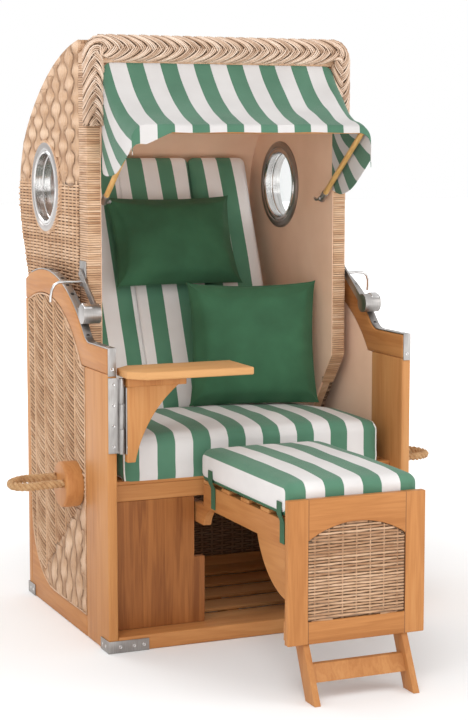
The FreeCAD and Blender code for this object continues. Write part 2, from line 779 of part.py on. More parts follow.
for hand in ("left", "right"):
    low, high = between(hand, lever_in, lever_out)
    side = lever_width / 2
    bar = plate(hand + "_lever_bar", "YZ", [
        lever_point(-side, -side), lever_point(lever_length, -side),
        lever_point(lever_length, side), lever_point(-side, side)], low, high,
        bores=[((-lock_y, lock_z), lock_pin + running_fit)])
    low, high = between(hand, lever_in, half)
    roller = round_bar(hand + "_lever_roller", (low, roller_y, roller_z),
                       half - lever_in, roller_radius, ALONG_X)
    keep(joined(hand + "_lock_lever", [bar, roller]))

# The awning: two wooden arms on the posts' inner faces, the bar between them, and the striped canopy
STAY_THICK = 14
stay_thick = driving("stay_thick", STAY_THICK)
STAY_WIDTH = 22
stay_width = driving("stay_width", STAY_WIDTH)
STAY_GAP = 14
stay_gap = driving("stay_gap", STAY_GAP)
STAY_LENGTH = 322
stay_length = driving("stay_length", STAY_LENGTH)
STAY_ANGLE = 37.2
stay_angle = driving("stay_angle", STAY_ANGLE)
STAY_AHEAD = 20
stay_y = driving("stay_ahead", STAY_AHEAD)
STAY_HEIGHT = 1157
stay_z = driving("stay_height", STAY_HEIGHT)
STAY_BOSS = 7
stay_boss = driving("stay_boss", STAY_BOSS)
BAR_RADIUS = 9
bar_radius = driving("bar_radius", BAR_RADIUS)
CLOTH = 3
cloth = driving("cloth", CLOTH)
CANOPY_SIDE = 5
canopy_side = driving("canopy_side", CANOPY_SIDE)
HEM = 28
hem = driving("hem", HEM)
CHEEK_LOW = 1190
cheek_low = driving("cheek_low", CHEEK_LOW)
CHEEK_RISE = 28
cheek_rise = driving("cheek_rise", CHEEK_RISE)
CHEEK_TURN = 215
cheek_turn = driving("cheek_turn", CHEEK_TURN)
CHEEK_FRONT = 300
cheek_front = driving("cheek_front", CHEEK_FRONT)
CHEEK_NOSE = 1292
cheek_nose = driving("cheek_nose", CHEEK_NOSE)

stay_out = post_in - stay_gap
stay_in = stay_out - stay_thick
stay_c, stay_s = cosine(stay_angle), sine(stay_angle)


def stay_point(along, across):
    """A place along an awning arm from its pivot, and across it."""
    return (-stay_y - along * stay_c - across * stay_s, stay_z + along * stay_s - across * stay_c)


stays = []
for hand in ("left", "right"):
    low, high = between(hand, stay_in, stay_out)
    end = stay_width / 2
    slat = plate(hand + "_stay_slat", "YZ", [
        stay_point(-end, -end), stay_point(-end, end), stay_point(stay_length + bar_radius / 2, end),
        stay_point(stay_length + bar_radius / 2, -end)], low, high)
    low, high = between(hand, stay_in, post_in - ease)
    boss = round_bar(hand + "_stay_boss", (low, -stay_y, stay_z),
                     post_in - ease - stay_in, stay_boss, ALONG_X)
    stays.append(joined(hand + "_awning_stay", [slat, boss]))
keep(group("awning_arms", stays))
bar_y, bar_z = stay_point(stay_length, size(0))
keep(round_bar("awning_bar", (-stay_in, bar_y, bar_z), stay_in * 2, bar_radius, ALONG_X))
lift = stay_width / 2 + ease * 2
crease = (bar_y - lift, bar_z + lift)
eave = (hood_y - ease, rail_under - ease - cloth)
canopy_half = post_in - canopy_side
roof = plate("canopy_roof", "YZ", [
    eave, (eave[0], eave[1] + cloth), (crease[0] - cloth, crease[1] + cloth),
    (crease[0] - cloth, crease[1] - hem), (crease[0], crease[1] - hem), crease], -canopy_half, canopy_half)
cheeks = []
for hand in ("left", "right"):
    low, high = between(hand, canopy_half - cloth, canopy_half)
    cheeks.append(plate(hand + "_canopy_cheek", "YZ", [
        (eave[0], eave[1] + cloth / 2), crease, (-cheek_front, cheek_nose),
        (-cheek_turn, cheek_low + cheek_rise),
        (eave[0], cheek_low)], low, high))
keep(joined("awning_canopy", [roof] + cheeks))

# The side table: a hinge on the left front post, a shaped bracket, a batten and the top
LEAF_THICK = 3
leaf_thick = driving("leaf_thick", LEAF_THICK)
LEAF_LOW = 527
leaf_low = driving("leaf_low", LEAF_LOW)
LEAF_HEIGHT = 196
leaf_height = driving("leaf_height", LEAF_HEIGHT)
KNUCKLE_RADIUS = 7
knuckle_radius = driving("knuckle_radius", KNUCKLE_RADIUS)
PIN_RADIUS = 3.5
pin_radius = driving("pin_radius", PIN_RADIUS)
KNUCKLE_GAP = 0.5
knuckle_gap = driving("knuckle_gap", KNUCKLE_GAP)
TABLE_ARM = 22
table_arm = driving("table_arm", TABLE_ARM)
TABLE_GAP = 1
table_gap = driving("table_gap", TABLE_GAP)
TABLE_REACH = 143
table_reach = driving("table_reach", TABLE_REACH)
TABLE_DROP = 197
table_drop = driving("table_drop", TABLE_DROP)
TABLE_TOE = 22
table_toe = driving("table_toe", TABLE_TOE)
TABLE_SWEEP = 330
table_sweep = driving("table_sweep", TABLE_SWEEP)
BATTEN_HEIGHT = 23
batten_height = driving("batten_height", BATTEN_HEIGHT)
BATTEN_WIDTH = 40
batten_width = driving("batten_width", BATTEN_WIDTH)
BATTEN_LENGTH = 160
batten_length = driving("batten_length", BATTEN_LENGTH)
TABLE_UNDER = 725
table_under = driving("table_under", TABLE_UNDER)
TABLE_THICK = 20
table_thick = driving("table_thick", TABLE_THICK)
TABLE_LENGTH = 335
table_length = driving("table_length", TABLE_LENGTH)
TABLE_DEPTH = 160
table_depth = driving("table_depth", TABLE_DEPTH)
TABLE_CORNER = 40
table_corner = driving("table_corner", TABLE_CORNER)

axis_y = front - leaf_thick - table_gap - table_arm / 2
axis_x = knuckle_radius + table_gap - inner
third = leaf_height / 3
leaf = board("hinge_leaf", (side_inset - half, front - leaf_thick, leaf_low),
             (axis_x, front, leaf_low + leaf_height))
fixed = [leaf, round_bar("hinge_pin", (axis_x, axis_y, leaf_low), leaf_height, pin_radius, ALONG_Z)]
for name, start in (("low", leaf_low), ("high", leaf_low + third * 2)):
    fixed.append(round_bar("knuckle_" + name, (axis_x, axis_y, start), third, knuckle_radius, ALONG_Z))
    fixed.append(board("knuckle_web_" + name, (axis_x - leaf_thick, axis_y, start),
                       (axis_x, front, start + third)))
keep(joined("table_hinge_plate", fixed))
arm_x = axis_x + knuckle_radius + table_gap + leaf_thick
middle_low, middle_high = leaf_low + third + knuckle_gap, leaf_low + third * 2 - knuckle_gap
swing = [
    round_bar("swing_knuckle", (axis_x, axis_y, middle_low), middle_high - middle_low,
              knuckle_radius, ALONG_Z),
    board("swing_web", (axis_x, axis_y - leaf_thick / 2, middle_low),
          (arm_x, axis_y + leaf_thick / 2, middle_high)),
    board("swing_leaf", (arm_x - leaf_thick, axis_y - table_arm / 2, leaf_low),
          (arm_x, axis_y + table_arm / 2, leaf_low + leaf_height - batten_height))]
keep(cut("table_hinge_leaf", joined("swing_whole", swing),
         round_bar("swing_bore", (axis_x, axis_y, leaf_low), leaf_height,
                   pin_radius + running_fit, ALONG_Z)))
arm_high = table_under - batten_height
bracket = plate("table_knee", "XZ", [
    (arm_x, arm_high - table_drop), (arm_x + table_toe, arm_high - table_drop, -table_sweep),
    (arm_x + table_reach, arm_high), (arm_x, arm_high)], axis_y - table_arm / 2, axis_y + table_arm / 2)
batten = board("table_batten", (arm_x, axis_y - batten_width / 2, arm_high),
               (arm_x + batten_length, axis_y + batten_width / 2, table_under))
keep(group("table_bracket", [bracket, batten]))
near, far = axis_y - table_depth / 2, axis_y + table_depth / 2
table_end = axis_x + table_length
keep(plate("table_top", "XY", [
    (axis_x + table_corner, near), (table_end, near), (table_end, far), (axis_x + table_corner, far),
    (axis_x, far - table_corner), (axis_x, near + table_corner)], table_under, table_under + table_thick))

# The foot stool: hooked on a dowel under the seat, with shaped rails, slats, a framed front and a leg
STOOL_WIDTH = 340
stool_width = driving("stool_width", STOOL_WIDTH)
STOOL_RAIL = 22
stool_rail = driving("stool_rail", STOOL_RAIL)
STOOL_FRONT = 901
stool_front = driving("stool_front", STOOL_FRONT)
STOOL_TOP = 428
stool_top = driving("stool_top", STOOL_TOP)
STOOL_UNDER = 365
stool_under = driving("stool_under", STOOL_UNDER)
STOOL_START = 343
stool_start = driving("stool_start", STOOL_START)
KNEE_LOW = 235
knee_low = driving("knee_low", KNEE_LOW)
KNEE_RUN = 190
knee_run = driving("knee_run", KNEE_RUN)
KNEE_RADIUS = 210
knee_radius = driving("knee_radius", KNEE_RADIUS)
TONGUE_LOW = 315
tongue_low = driving("tongue_low", TONGUE_LOW)
TONGUE_TOP = 367
tongue_top = driving("tongue_top", TONGUE_TOP)
TONGUE_END = 30
tongue_end = driving("tongue_end", TONGUE_END)
TONGUE_RADIUS = 70
tongue_radius = driving("tongue_radius", TONGUE_RADIUS)
DOWEL_AHEAD = 235
dowel_y = driving("dowel_ahead", DOWEL_AHEAD)
DOWEL_HEIGHT = 340
dowel_z = driving("dowel_height", DOWEL_HEIGHT)
DOWEL_RADIUS = 10
dowel_radius = driving("dowel_radius", DOWEL_RADIUS)
GUIDE_GAP = 16
guide_gap = driving("guide_gap", GUIDE_GAP)
GUIDE_THICK = 26
guide_thick = driving("guide_thick", GUIDE_THICK)
GUIDE_LOW = 290
guide_low = driving("guide_low", GUIDE_LOW)
GUIDE_END = 100
guide_end = driving("guide_end", GUIDE_END)
STOOL_FRAME = 20
stool_frame = driving("stool_frame", STOOL_FRAME)
STOOL_FACE = 368
stool_face = driving("stool_face", STOOL_FACE)
STOOL_HEAD = 485
stool_head = driving("stool_head", STOOL_HEAD)
STOOL_FOOT = 134
stool_foot = driving("stool_foot", STOOL_FOOT)
STILE = 54
stile = driving("stile", STILE)
ARCH_SPRING = 385
arch_spring = driving("arch_spring", ARCH_SPRING)
ARCH_RADIUS = 236
arch_radius = driving("arch_radius", ARCH_RADIUS)
SILL = 188
sill = driving("sill", SILL)
STOOL_WEAVE = 8
stool_weave = driving("stool_weave", STOOL_WEAVE)
STOOL_SLATS = 5

stool_half = stool_width / 2
panel_back = stool_frame - stool_front
guide_in = stool_half + guide_gap
keep(group("stool_guides", [
    board(hand + "_guide", (near, face_back, guide_low), (far, guide_end, seat_deck))
    for hand in ("left", "right") for near, far in (between(hand, guide_in, guide_in + guide_thick),)] + [
    round_bar("stool_dowel", (-guide_in, -dowel_y, dowel_z), guide_in * 2, dowel_radius, ALONG_X)]))
rails = []
for hand in ("left", "right"):
    low, high = between(hand, stool_half - stool_rail, stool_half)
    tongue_y = tongue_end - dowel_y
    scoop = stool_under - tongue_low
    rails.append(plate(hand + "_stool_rail", "YZ", [
        (panel_back, stool_top), (panel_back, knee_low, knee_radius), (panel_back + knee_run, stool_under),
        (-stool_start - scoop, stool_under, -tongue_radius), (-stool_start, tongue_low),
        (tongue_y, tongue_low),
        (tongue_y, tongue_top), (-stool_start, tongue_top), (-stool_start, stool_top)], low, high,
        bores=[((-dowel_y, dowel_z), dowel_radius + running_fit)]))
keep(group("stool_rails", rails))
slats("stool_slats", STOOL_SLATS, slat_width, panel_back, -stool_start, stool_top, stool_half)
arch = [(stool_face / 2 - stile, sill), (stool_face / 2 - stile, arch_spring, arch_radius),
        (stile - stool_face / 2, arch_spring), (stile - stool_face / 2, sill)]
keep(plate("stool_front", "XZ", [
    (-stool_face / 2, stool_foot), (stool_face / 2, stool_foot), (stool_face / 2, stool_head),
    (-stool_face / 2, stool_head)], -stool_front, panel_back, holes=[arch]))
weave = stile + ease
keep(plate("stool_wicker", "XZ", [
    (stool_face / 2 - weave, sill + ease), (stool_face / 2 - weave, arch_spring, arch_radius),
    (weave - stool_face / 2, arch_spring), (weave - stool_face / 2, sill + ease)],
    panel_back - (stool_frame + stool_weave) / 2, panel_back - (stool_frame - stool_weave) / 2))

LEG_OUTER = 281
leg_outer = driving("leg_outer", LEG_OUTER)
LEG_THICK = 16
leg_thick = driving("leg_thick", LEG_THICK)
LEG_PIVOT = 21
leg_pivot_y = driving("leg_pivot", LEG_PIVOT)
LEG_HEIGHT = 150
leg_pivot_z = driving("leg_height", LEG_HEIGHT)
LEG_ROUND = 20
leg_round = driving("leg_round", LEG_ROUND)
LEG_FRONT = 960
leg_front = driving("leg_front", LEG_FRONT)
LEG_WIDTH = 52
leg_width = driving("leg_width", LEG_WIDTH)
LEG_ROD = 8
leg_rod = driving("leg_rod", LEG_ROD)
LEG_STEP = 1
leg_step = driving("leg_step", LEG_STEP)
CLEAT_THICK = 24
cleat_thick = driving("cleat_thick", CLEAT_THICK)
CLEAT_HEIGHT = 46
cleat_height = driving("cleat_height", CLEAT_HEIGHT)
CLEAT_GAP = 2
cleat_gap = driving("cleat_gap", CLEAT_GAP)
BRACE_LOW = 45
brace_low = driving("brace_low", BRACE_LOW)
BRACE_HIGH = 85
brace_high = driving("brace_high", BRACE_HIGH)

hinge_y = panel_back + leg_pivot_y + ease
lean = (hinge_y - leg_width / 2 + leg_front) / leg_pivot_z
knee_z = stool_foot - leg_step
heel_y = leg_width - leg_front
legs = []
for hand in ("left", "right"):
    low, high = between(hand, leg_outer / 2 - leg_thick, leg_outer / 2)
    legs.append(plate(hand + "_leg", "YZ", [
        (-leg_front, 0), (heel_y, 0), (hinge_y + leg_round, leg_pivot_z, leg_round),
        (hinge_y, leg_pivot_z + leg_round, leg_round), (hinge_y - leg_round, leg_pivot_z),
        (hinge_y - leg_round, knee_z), (lean * knee_z - leg_front, knee_z)], low, high))
brace_y = leg_width / 2 - leg_front
legs.append(plate("leg_brace", "YZ", [
    (brace_y + lean * brace_low - leg_thick / 2, brace_low),
    (brace_y + lean * brace_low + leg_thick / 2, brace_low),
    (brace_y + lean * brace_high + leg_thick / 2, brace_high),
    (brace_y + lean * brace_high - leg_thick / 2, brace_high)],
    leg_thick - leg_outer / 2, leg_outer / 2 - leg_thick))
cleat_in = leg_outer / 2 + cleat_gap
rod_half = cleat_in + cleat_thick
legs.append(round_bar("leg_rod", (-rod_half, hinge_y, leg_pivot_z), rod_half * 2, leg_rod, ALONG_X))
keep(joined("stool_leg", legs))
cleats = []
for hand in ("left", "right"):
    low, high = between(hand, cleat_in, rod_half)
    cleats.append(plate(hand + "_leg_cleat", "YZ", [
        (panel_back, stool_foot), (hinge_y + leg_round, stool_foot),
        (hinge_y + leg_round, stool_foot + cleat_height),
        (panel_back, stool_foot + cleat_height)], low, high,
        bores=[((hinge_y, leg_pivot_z), leg_rod + running_fit)]))
keep(group("stool_cleats", cleats))

# Cushions and pillows: crowned forms lofted through flat-based sections
SEAT_HALF = 375
seat_half = driving("seat_half", SEAT_HALF)
SEAT_REAR_HALF = 338
seat_rear_half = driving("seat_rear_half", SEAT_REAR_HALF)
SEAT_THICK = 112
seat_thick = driving("seat_thick", SEAT_THICK)
SEAT_CROWN = 22
seat_crown = driving("seat_crown", SEAT_CROWN)
SEAT_STEP = 20
seat_step = driving("seat_step", SEAT_STEP)
BULGE = 5
bulge = driving("bulge", BULGE)
BACK_BOTTOM = 160
back_bottom_y = driving("back_bottom", BACK_BOTTOM)
BACK_BOTTOM_HEIGHT = 544
back_bottom_z = driving("back_bottom_height", BACK_BOTTOM_HEIGHT)
CUSHION_TILT = 23
back_tilt = driving("cushion_tilt", CUSHION_TILT)
BACK_MIDDLE = 110
back_middle = driving("back_middle", BACK_MIDDLE)
BACK_SIDE = 297
back_side = driving("back_side", BACK_SIDE)
BACK_SEAM = 4
back_seam = driving("back_seam", BACK_SEAM)
BACK_CROWN = 10
back_crown = driving("back_crown", BACK_CROWN)
BACK_LENGTH = 794
back_length = driving("back_length", BACK_LENGTH)
STOOL_PAD = 70
stool_pad = driving("stool_pad", STOOL_PAD)
STOOL_PAD_CROWN = 12
stool_pad_crown = driving("stool_pad_crown", STOOL_PAD_CROWN)
HEAD_WIDTH = 405
head_width = driving("head_width", HEAD_WIDTH)
HEAD_HEIGHT = 290
head_height = driving("head_height", HEAD_HEIGHT)
HEAD_THICK = 100
head_thick = driving("head_thick", HEAD_THICK)
HEAD_ALONG = 503
head_along = driving("head_along", HEAD_ALONG)
LOOSE_WIDTH = 390
loose_width = driving("loose_width", LOOSE_WIDTH)
LOOSE_HEIGHT = 365
loose_height = driving("loose_height", LOOSE_HEIGHT)
LOOSE_THICK = 125
loose_thick = driving("loose_thick", LOOSE_THICK)
LOOSE_ACROSS = 130
loose_x = driving("loose_across", LOOSE_ACROSS)
LOOSE_BACK = 45
loose_y = driving("loose_back", LOOSE_BACK)
LOOSE_TILT = 8
loose_tilt = driving("loose_tilt", LOOSE_TILT)
LOOSE_TURN = 12
loose_turn = driving("loose_turn", LOOSE_TURN)


def arc(a, middle, b):
    return Part.Arc(Vector(*a), Vector(*middle), Vector(*b)).toShape()


def pad_section(along, left, right, low, high, crown):
    """A cushion's section across it: flat base, bowed sides and a crowned top."""
    middle, mid_height = (left + right) / 2, (low + high) / 2
    bow = bulge.value
    return Part.Wire([
        Part.LineSegment(Vector(left, along, low), Vector(right, along, low)).toShape(),
        arc((right, along, low), (right + bow, along, mid_height), (right, along, high)),
        arc((right, along, high), (middle, along, high + crown), (left, along, high)),
        arc((left, along, high), (left - bow, along, mid_height), (left, along, low))])


def pad(label, sections, round_end, place):
    """A cushion lofted through sections of (along, left, right, low, high, crown), with rounded ends."""
    wires = []
    for end, step in ((sections[0], -1), (sections[-1], 1)):
        along, left, right, low, high, crown = end
        rims = []
        for degrees in (30, 55, 75, 90):
            share = 1 - math.cos(math.radians(degrees))
            inset = round_end * share
            rims.append(pad_section(
                along + step * round_end * math.sin(math.radians(degrees)),
                left + inset / 2, right - inset / 2,
                low + inset * 0.35, high - inset * 0.6, crown * (1 - 0.6 * share)))
        wires += rims[::-1] + [pad_section(*s) for s in sections] if step < 0 else rims
    return keep(shaped(label, Part.makeLoft(wires, True, True), place))


def pillow(label, width, height, thick, place):
    """A stuffed pillow: two crowned faces that meet along a sewn edge, drawn in between its corners."""
    wires = []
    for share in (0.0, 0.03, 0.08, 0.16, 0.28, 0.42, 0.5, 0.58, 0.72, 0.84, 0.92, 0.97, 1.0):
        rise = math.sin(math.pi * share)
        along = (share - 0.5) * height
        reach = width * (1 - 0.05 * rise) / 2
        depth = thick * max(rise, 0.02) ** 0.6 / 2
        wires.append(Part.Wire([
            arc((-reach, along, 0), (0, along, depth), (reach, along, 0)),
            arc((reach, along, 0), (0, along, -depth), (-reach, along, 0))]))
    return keep(shaped(label, Part.makeLoft(wires, True, True), place))


seat_y, seat_end = face.value, deck_rear.value
wide, narrow = seat_half.value, seat_rear_half.value
thick, crown = seat_thick.value, seat_crown.value
neck = seat_step.value
SEAT_ROUND = 26
seat_round = driving("seat_round", SEAT_ROUND)
curve = seat_round.value
pad("seat_cushion", [
    (seat_y + curve, -wide, wide, 0, thick, crown), (seat_y / 2, 3 - wide, wide - 3, 0, thick, crown),
    (-3 * neck, -wide, wide, 0, thick, crown), (neck, -narrow, narrow, 0, thick, crown),
    (seat_end - curve, -narrow, narrow, 0, thick, crown)], curve,
    Placement(Vector(0, 0, deck_top.value + ease.value), Rotation()))
stool_y, stool_end = panel_back.value + 4, -stool_start.value + 6
pad_half, pad_thick, pad_crown = stool_half.value + 4, stool_pad.value, stool_pad_crown.value
pad("stool_cushion", [
    (stool_y + curve, -pad_half, pad_half, 0, pad_thick, pad_crown),
    ((stool_y + stool_end) / 2, 3 - pad_half, pad_half - 3, 0, pad_thick, pad_crown),
    (stool_end - curve, -pad_half, pad_half, 0, pad_thick, pad_crown)], curve,
    Placement(Vector(0, 0, (stool_top + slat_thick + ease).value), Rotation()))

# The back cushions stand on their own frame: across, up the lean, and out towards the sitter
tilt = math.radians(back_tilt.value)
up_lean = Vector(0, math.sin(tilt), math.cos(tilt))
out_lean = Vector(0, -math.cos(tilt), math.sin(tilt))
lean_turn = Rotation(Vector(1, 0, 0), up_lean, out_lean, "XYZ")
foot = Vector(0, back_bottom_y.value, back_bottom_z.value)
tall, middle, side = back_length.value, back_middle.value, back_side.value
seam, bow = back_seam.value, bulge.value
BACK_ROUND = 20
back_round = driving("back_round", BACK_ROUND)
rim = back_round.value
lining_in = (crown_radius - lining_depth - hood_lining).value
toe_y, toe_z = [c.value for c in hood_back(lining_depth + hood_lining)[0]]
heel_z = hood_back(lining_depth + hood_lining)[1][1].value


def room_behind(along):
    """Distance from a cushion's front face back to the lining, at a place up the lean."""
    start = foot + up_lean * along
    lean = slope.value
    straight = (toe_y - start.y + lean * (start.z - toe_z)) / (math.cos(tilt) + lean * math.sin(tilt))
    if start.z - straight * math.sin(tilt) <= heel_z:
        return straight
    out = Vector(0, start.y - crown_y.value, start.z - crown_z.value)
    half_chord = -(out.y * out_lean.y + out.z * out_lean.z)
    return -half_chord + math.sqrt(half_chord ** 2 - out.Length ** 2 + lining_in ** 2)


back_fill = [(0.03, 1, 0.8), (0.35, 1, 1), (0.66, 1, 1), (0.74, 1, 1), (0.84, 0.93, 1), (0.93, 0.78, 0.9),
             (0.972, 0.63, 0.6)]
back_depths = [(share, (room_behind(share * tall) - ease.value) * fill, rise * back_crown.value)
               for share, fill, rise in back_fill]
print("back cushion depths", [round(d[1], 1) for d in back_depths])
gap = seam + bow * 2
for label, left, right in (("left_back_cushion", -side, -middle - gap),
                           ("middle_back_cushion", -middle, middle),
                           ("right_back_cushion", middle + gap, side)):
    pad(label, [(share * tall, left, right, -depth, 0, rise) for share, depth, rise in back_depths], rim,
        Placement(foot, lean_turn))
head_out = back_crown.value + head_thick.value / 2 + ease.value
pillow("head_pillow", head_width.value, head_height.value, head_thick.value,
       Placement(foot + up_lean * head_along.value + out_lean * head_out, lean_turn))
loose_lean = math.radians(loose_tilt.value)
loose_frame = Rotation(Vector(0, 0, 1), -loose_turn.value).multiply(
    Rotation(Vector(1, 0, 0), Vector(0, math.sin(loose_lean), math.cos(loose_lean)),
             Vector(0, -math.cos(loose_lean), math.sin(loose_lean)), "XYZ"))
loose_rise = deck_top.value + thick + crown + loose_height.value / 2 * math.cos(loose_lean) + 1.1
pillow("seat_pillow", loose_width.value, loose_height.value, loose_thick.value,
       Placement(Vector(loose_x.value, loose_y.value, loose_rise), loose_frame))

doc.recompute()
for thing in doc.Objects:
    if "Invalid" in thing.State or "Error" in thing.State:
        raise RuntimeError(thing.Label + " failed: " + str(thing.State))
for node in nodes:
    if node.Shape.isNull() or not node.Shape.isValid() or node.Shape.Volume <= 0:
        raise RuntimeError(node.Label + " has no valid solid")
os.makedirs("parts", exist_ok=True)
for node in nodes:
    node.Shape.exportStep("parts/" + node.Label + ".step")
print(len(nodes), "nodes written")
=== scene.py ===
"""A wicker beach chair with a tilting hood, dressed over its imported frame.
Metres, +Z up, the sitter looks along -Y."""
import bpy
import json
import math
from contextlib import contextmanager
from mathutils import Matrix, Vector, noise

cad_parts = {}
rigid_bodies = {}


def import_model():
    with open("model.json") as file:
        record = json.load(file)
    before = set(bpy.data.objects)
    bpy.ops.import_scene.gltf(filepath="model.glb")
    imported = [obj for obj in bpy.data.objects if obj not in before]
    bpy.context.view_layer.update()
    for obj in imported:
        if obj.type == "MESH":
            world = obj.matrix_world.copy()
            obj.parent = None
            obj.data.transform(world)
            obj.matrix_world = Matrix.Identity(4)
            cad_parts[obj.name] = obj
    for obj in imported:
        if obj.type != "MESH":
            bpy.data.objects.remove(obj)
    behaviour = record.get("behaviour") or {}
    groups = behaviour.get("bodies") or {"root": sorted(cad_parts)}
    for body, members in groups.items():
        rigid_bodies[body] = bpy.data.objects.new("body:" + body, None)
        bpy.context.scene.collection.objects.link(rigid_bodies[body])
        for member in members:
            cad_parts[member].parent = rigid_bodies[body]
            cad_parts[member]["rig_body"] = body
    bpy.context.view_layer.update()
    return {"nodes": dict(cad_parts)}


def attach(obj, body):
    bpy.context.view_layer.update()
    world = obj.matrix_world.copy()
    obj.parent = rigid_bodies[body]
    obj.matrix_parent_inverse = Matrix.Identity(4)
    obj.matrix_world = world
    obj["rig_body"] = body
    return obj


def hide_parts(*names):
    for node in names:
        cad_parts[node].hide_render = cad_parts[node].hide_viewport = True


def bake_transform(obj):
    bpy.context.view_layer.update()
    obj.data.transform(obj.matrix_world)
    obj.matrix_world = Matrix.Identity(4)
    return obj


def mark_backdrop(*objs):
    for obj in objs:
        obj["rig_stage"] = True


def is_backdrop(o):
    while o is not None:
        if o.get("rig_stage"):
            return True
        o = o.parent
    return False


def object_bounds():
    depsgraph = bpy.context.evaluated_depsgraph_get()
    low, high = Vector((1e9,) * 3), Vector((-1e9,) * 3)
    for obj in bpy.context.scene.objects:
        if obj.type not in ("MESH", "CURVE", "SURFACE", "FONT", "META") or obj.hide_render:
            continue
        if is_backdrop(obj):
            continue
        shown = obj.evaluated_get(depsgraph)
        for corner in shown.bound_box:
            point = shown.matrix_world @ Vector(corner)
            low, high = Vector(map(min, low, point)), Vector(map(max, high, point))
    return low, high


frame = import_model()

# The boards of the seat box, the table and the foot stool: planed, oiled teak, screwed, with eased edges.
# Each piece is a merged copy of its solid, rounded over. The grain runs along it, and each board has its tone.


class Socket:
    """One output in a node tree. Arithmetic on it adds Math nodes, and node() adds any other kind."""

    def __init__(self, tree, out):
        self.tree = tree
        self.out = out

    def node(self, kind, settings=None, inputs=None, output=0):
        made = self.tree.nodes.new("ShaderNode" + kind)
        for name, value in (settings or {}).items():
            if name == "stops":
                stops = made.color_ramp.elements
                while len(stops) < len(value):
                    stops.new(0.5)
                for stop, (place, colour) in zip(stops, value):
                    stop.position = place
                    stop.color = (*colour, 1)
            else:
                setattr(made, name, value)
        for key, value in (inputs or {}).items():
            if isinstance(value, Socket):
                self.tree.links.new(value.out, made.inputs[key])
            else:
                made.inputs[key].default_value = value
        return Socket(self.tree, made.outputs[output])

    def call(self, operation, other=0.0):
        return self.node("Math", {"operation": operation}, {0: self, 1: other})

    def __add__(self, other):
        return self.call("ADD", other)

    def __sub__(self, other):
        return self.call("SUBTRACT", other)

    def __mul__(self, other):
        return self.call("MULTIPLY", other)

    def __truediv__(self, other):
        return self.call("DIVIDE", other)

    __radd__ = __add__
    __rmul__ = __mul__

    def __rsub__(self, other):
        return self.node("Math", {"operation": "SUBTRACT"}, {0: other, 1: self})

    def axes(self):
        made = self.tree.nodes.new("ShaderNodeSeparateXYZ")
        self.tree.links.new(self.out, made.inputs[0])
        return [Socket(self.tree, out) for out in made.outputs]

    def mottle(self, across, up, deep, detail=3.0):
        """Soft noise over three scaled coordinates."""
        spot = self.node("CombineXYZ", {}, {0: across, 1: up, 2: deep})
        return self.node("TexNoise", {}, {"Vector": spot, "Scale": 1.0, "Detail": detail})

    def ease(self, low, high):
        """0 below low, 1 above high, and smooth between."""
        return self.node("MapRange", {"interpolation_type": "SMOOTHSTEP"},
                         {"Value": self, "From Min": low, "From Max": high})

    def ramp(self, *stops):
        return self.node("ValToRGB", {"stops": stops}, {0: self})

    def over(self, under, top):
        """Colour under where this is 0, and colour top where it is 1."""
        return self.node("Mix", {"data_type": "RGBA"}, {0: self, 6: under, 7: top}, 2)

    def relief(self, depth, strength=1.0):
        return self.node("Bump", {}, {"Strength": strength, "Distance": depth, "Height": self}, "Normal")


def finish(name, **fixed):
    """A new material: itself, a function that links into its shader, and the piece's own coordinates."""
    material = bpy.data.materials.new(name)
    material.use_nodes = True
    tree = material.node_tree
    shader = tree.nodes["Principled BSDF"]
    for socket, value in fixed.items():
        shader.inputs[socket.replace("_", " ")].default_value = value

    def feed(socket, source):
        tree.links.new(source.out, shader.inputs[socket])

    return material, feed, Socket(tree, tree.nodes.new("ShaderNodeTexCoord").outputs["Object"])


def only(piece):
    """Make one object the whole selection, and the active one."""
    bpy.ops.object.select_all(action="DESELECT")
    piece.select_set(True)
    bpy.context.view_layer.objects.active = piece
    return piece


@contextmanager
def editing(piece):
    """Edit mode on one piece, with all of it selected."""
    only(piece)
    bpy.ops.object.mode_set(mode="EDIT")
    bpy.ops.mesh.select_all(action="SELECT")
    yield
    bpy.ops.object.mode_set(mode="OBJECT")


def apply(piece, name, kind, **settings):
    """Add a modifier with its settings and apply it."""
    only(piece)
    modifier = piece.modifiers.new(name, kind)
    for setting, value in settings.items():
        setattr(modifier, setting, value)
    bpy.ops.object.modifier_apply(modifier=name)
    return piece


def number_pieces(piece):
    """A number from 0 to 1 on each separate shell of a mesh, so that each board can have its own tone."""
    mesh = piece.data
    head = list(range(len(mesh.vertices)))

    def first(i):
        while head[i] != i:
            head[i] = head[head[i]]
            i = head[i]
        return i

    for a, b in mesh.edge_keys:
        head[first(a)] = first(b)
    tones = mesh.attributes.new("plank", "FLOAT", "POINT")
    for i in range(len(mesh.vertices)):
        tones.data[i].value = (first(i) * 0.618034) % 1.0
    return piece


def eased(node, radius, segments=2):
    """A merged copy of a CAD solid with its sharp edges rounded over."""
    mesh = frame["nodes"][node].data.copy()
    mesh.materials.clear()
    piece = bpy.data.objects.new(node + "_piece", mesh)
    bpy.context.scene.collection.objects.link(piece)
    with editing(piece):
        bpy.ops.mesh.remove_doubles(threshold=0.00001)
        bpy.ops.mesh.dissolve_limited(angle_limit=math.radians(0.5))
    apply(piece, "eased", "BEVEL", width=radius, segments=segments, limit_method="ANGLE",
          angle_limit=math.radians(35))
    bpy.ops.object.shade_smooth_by_angle(angle=math.radians(40))
    return number_pieces(piece)


def coat(piece, material):
    """Give a piece its one material."""
    piece.data.materials.clear()
    piece.data.materials.append(material)


def dress(piece, body, slot, material, *nodes):
    """Give a finished piece its material, tie it to its body, and hide the solids it stands for. Its slot is
    not used.
    """
    coat(piece, material)
    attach(piece, body)
    if nodes:
        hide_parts(*nodes)
    return piece


OILED = {"Coat_Weight": 0.02, "Coat_Roughness": 0.35, "Specular_IOR_Level": 0.22}


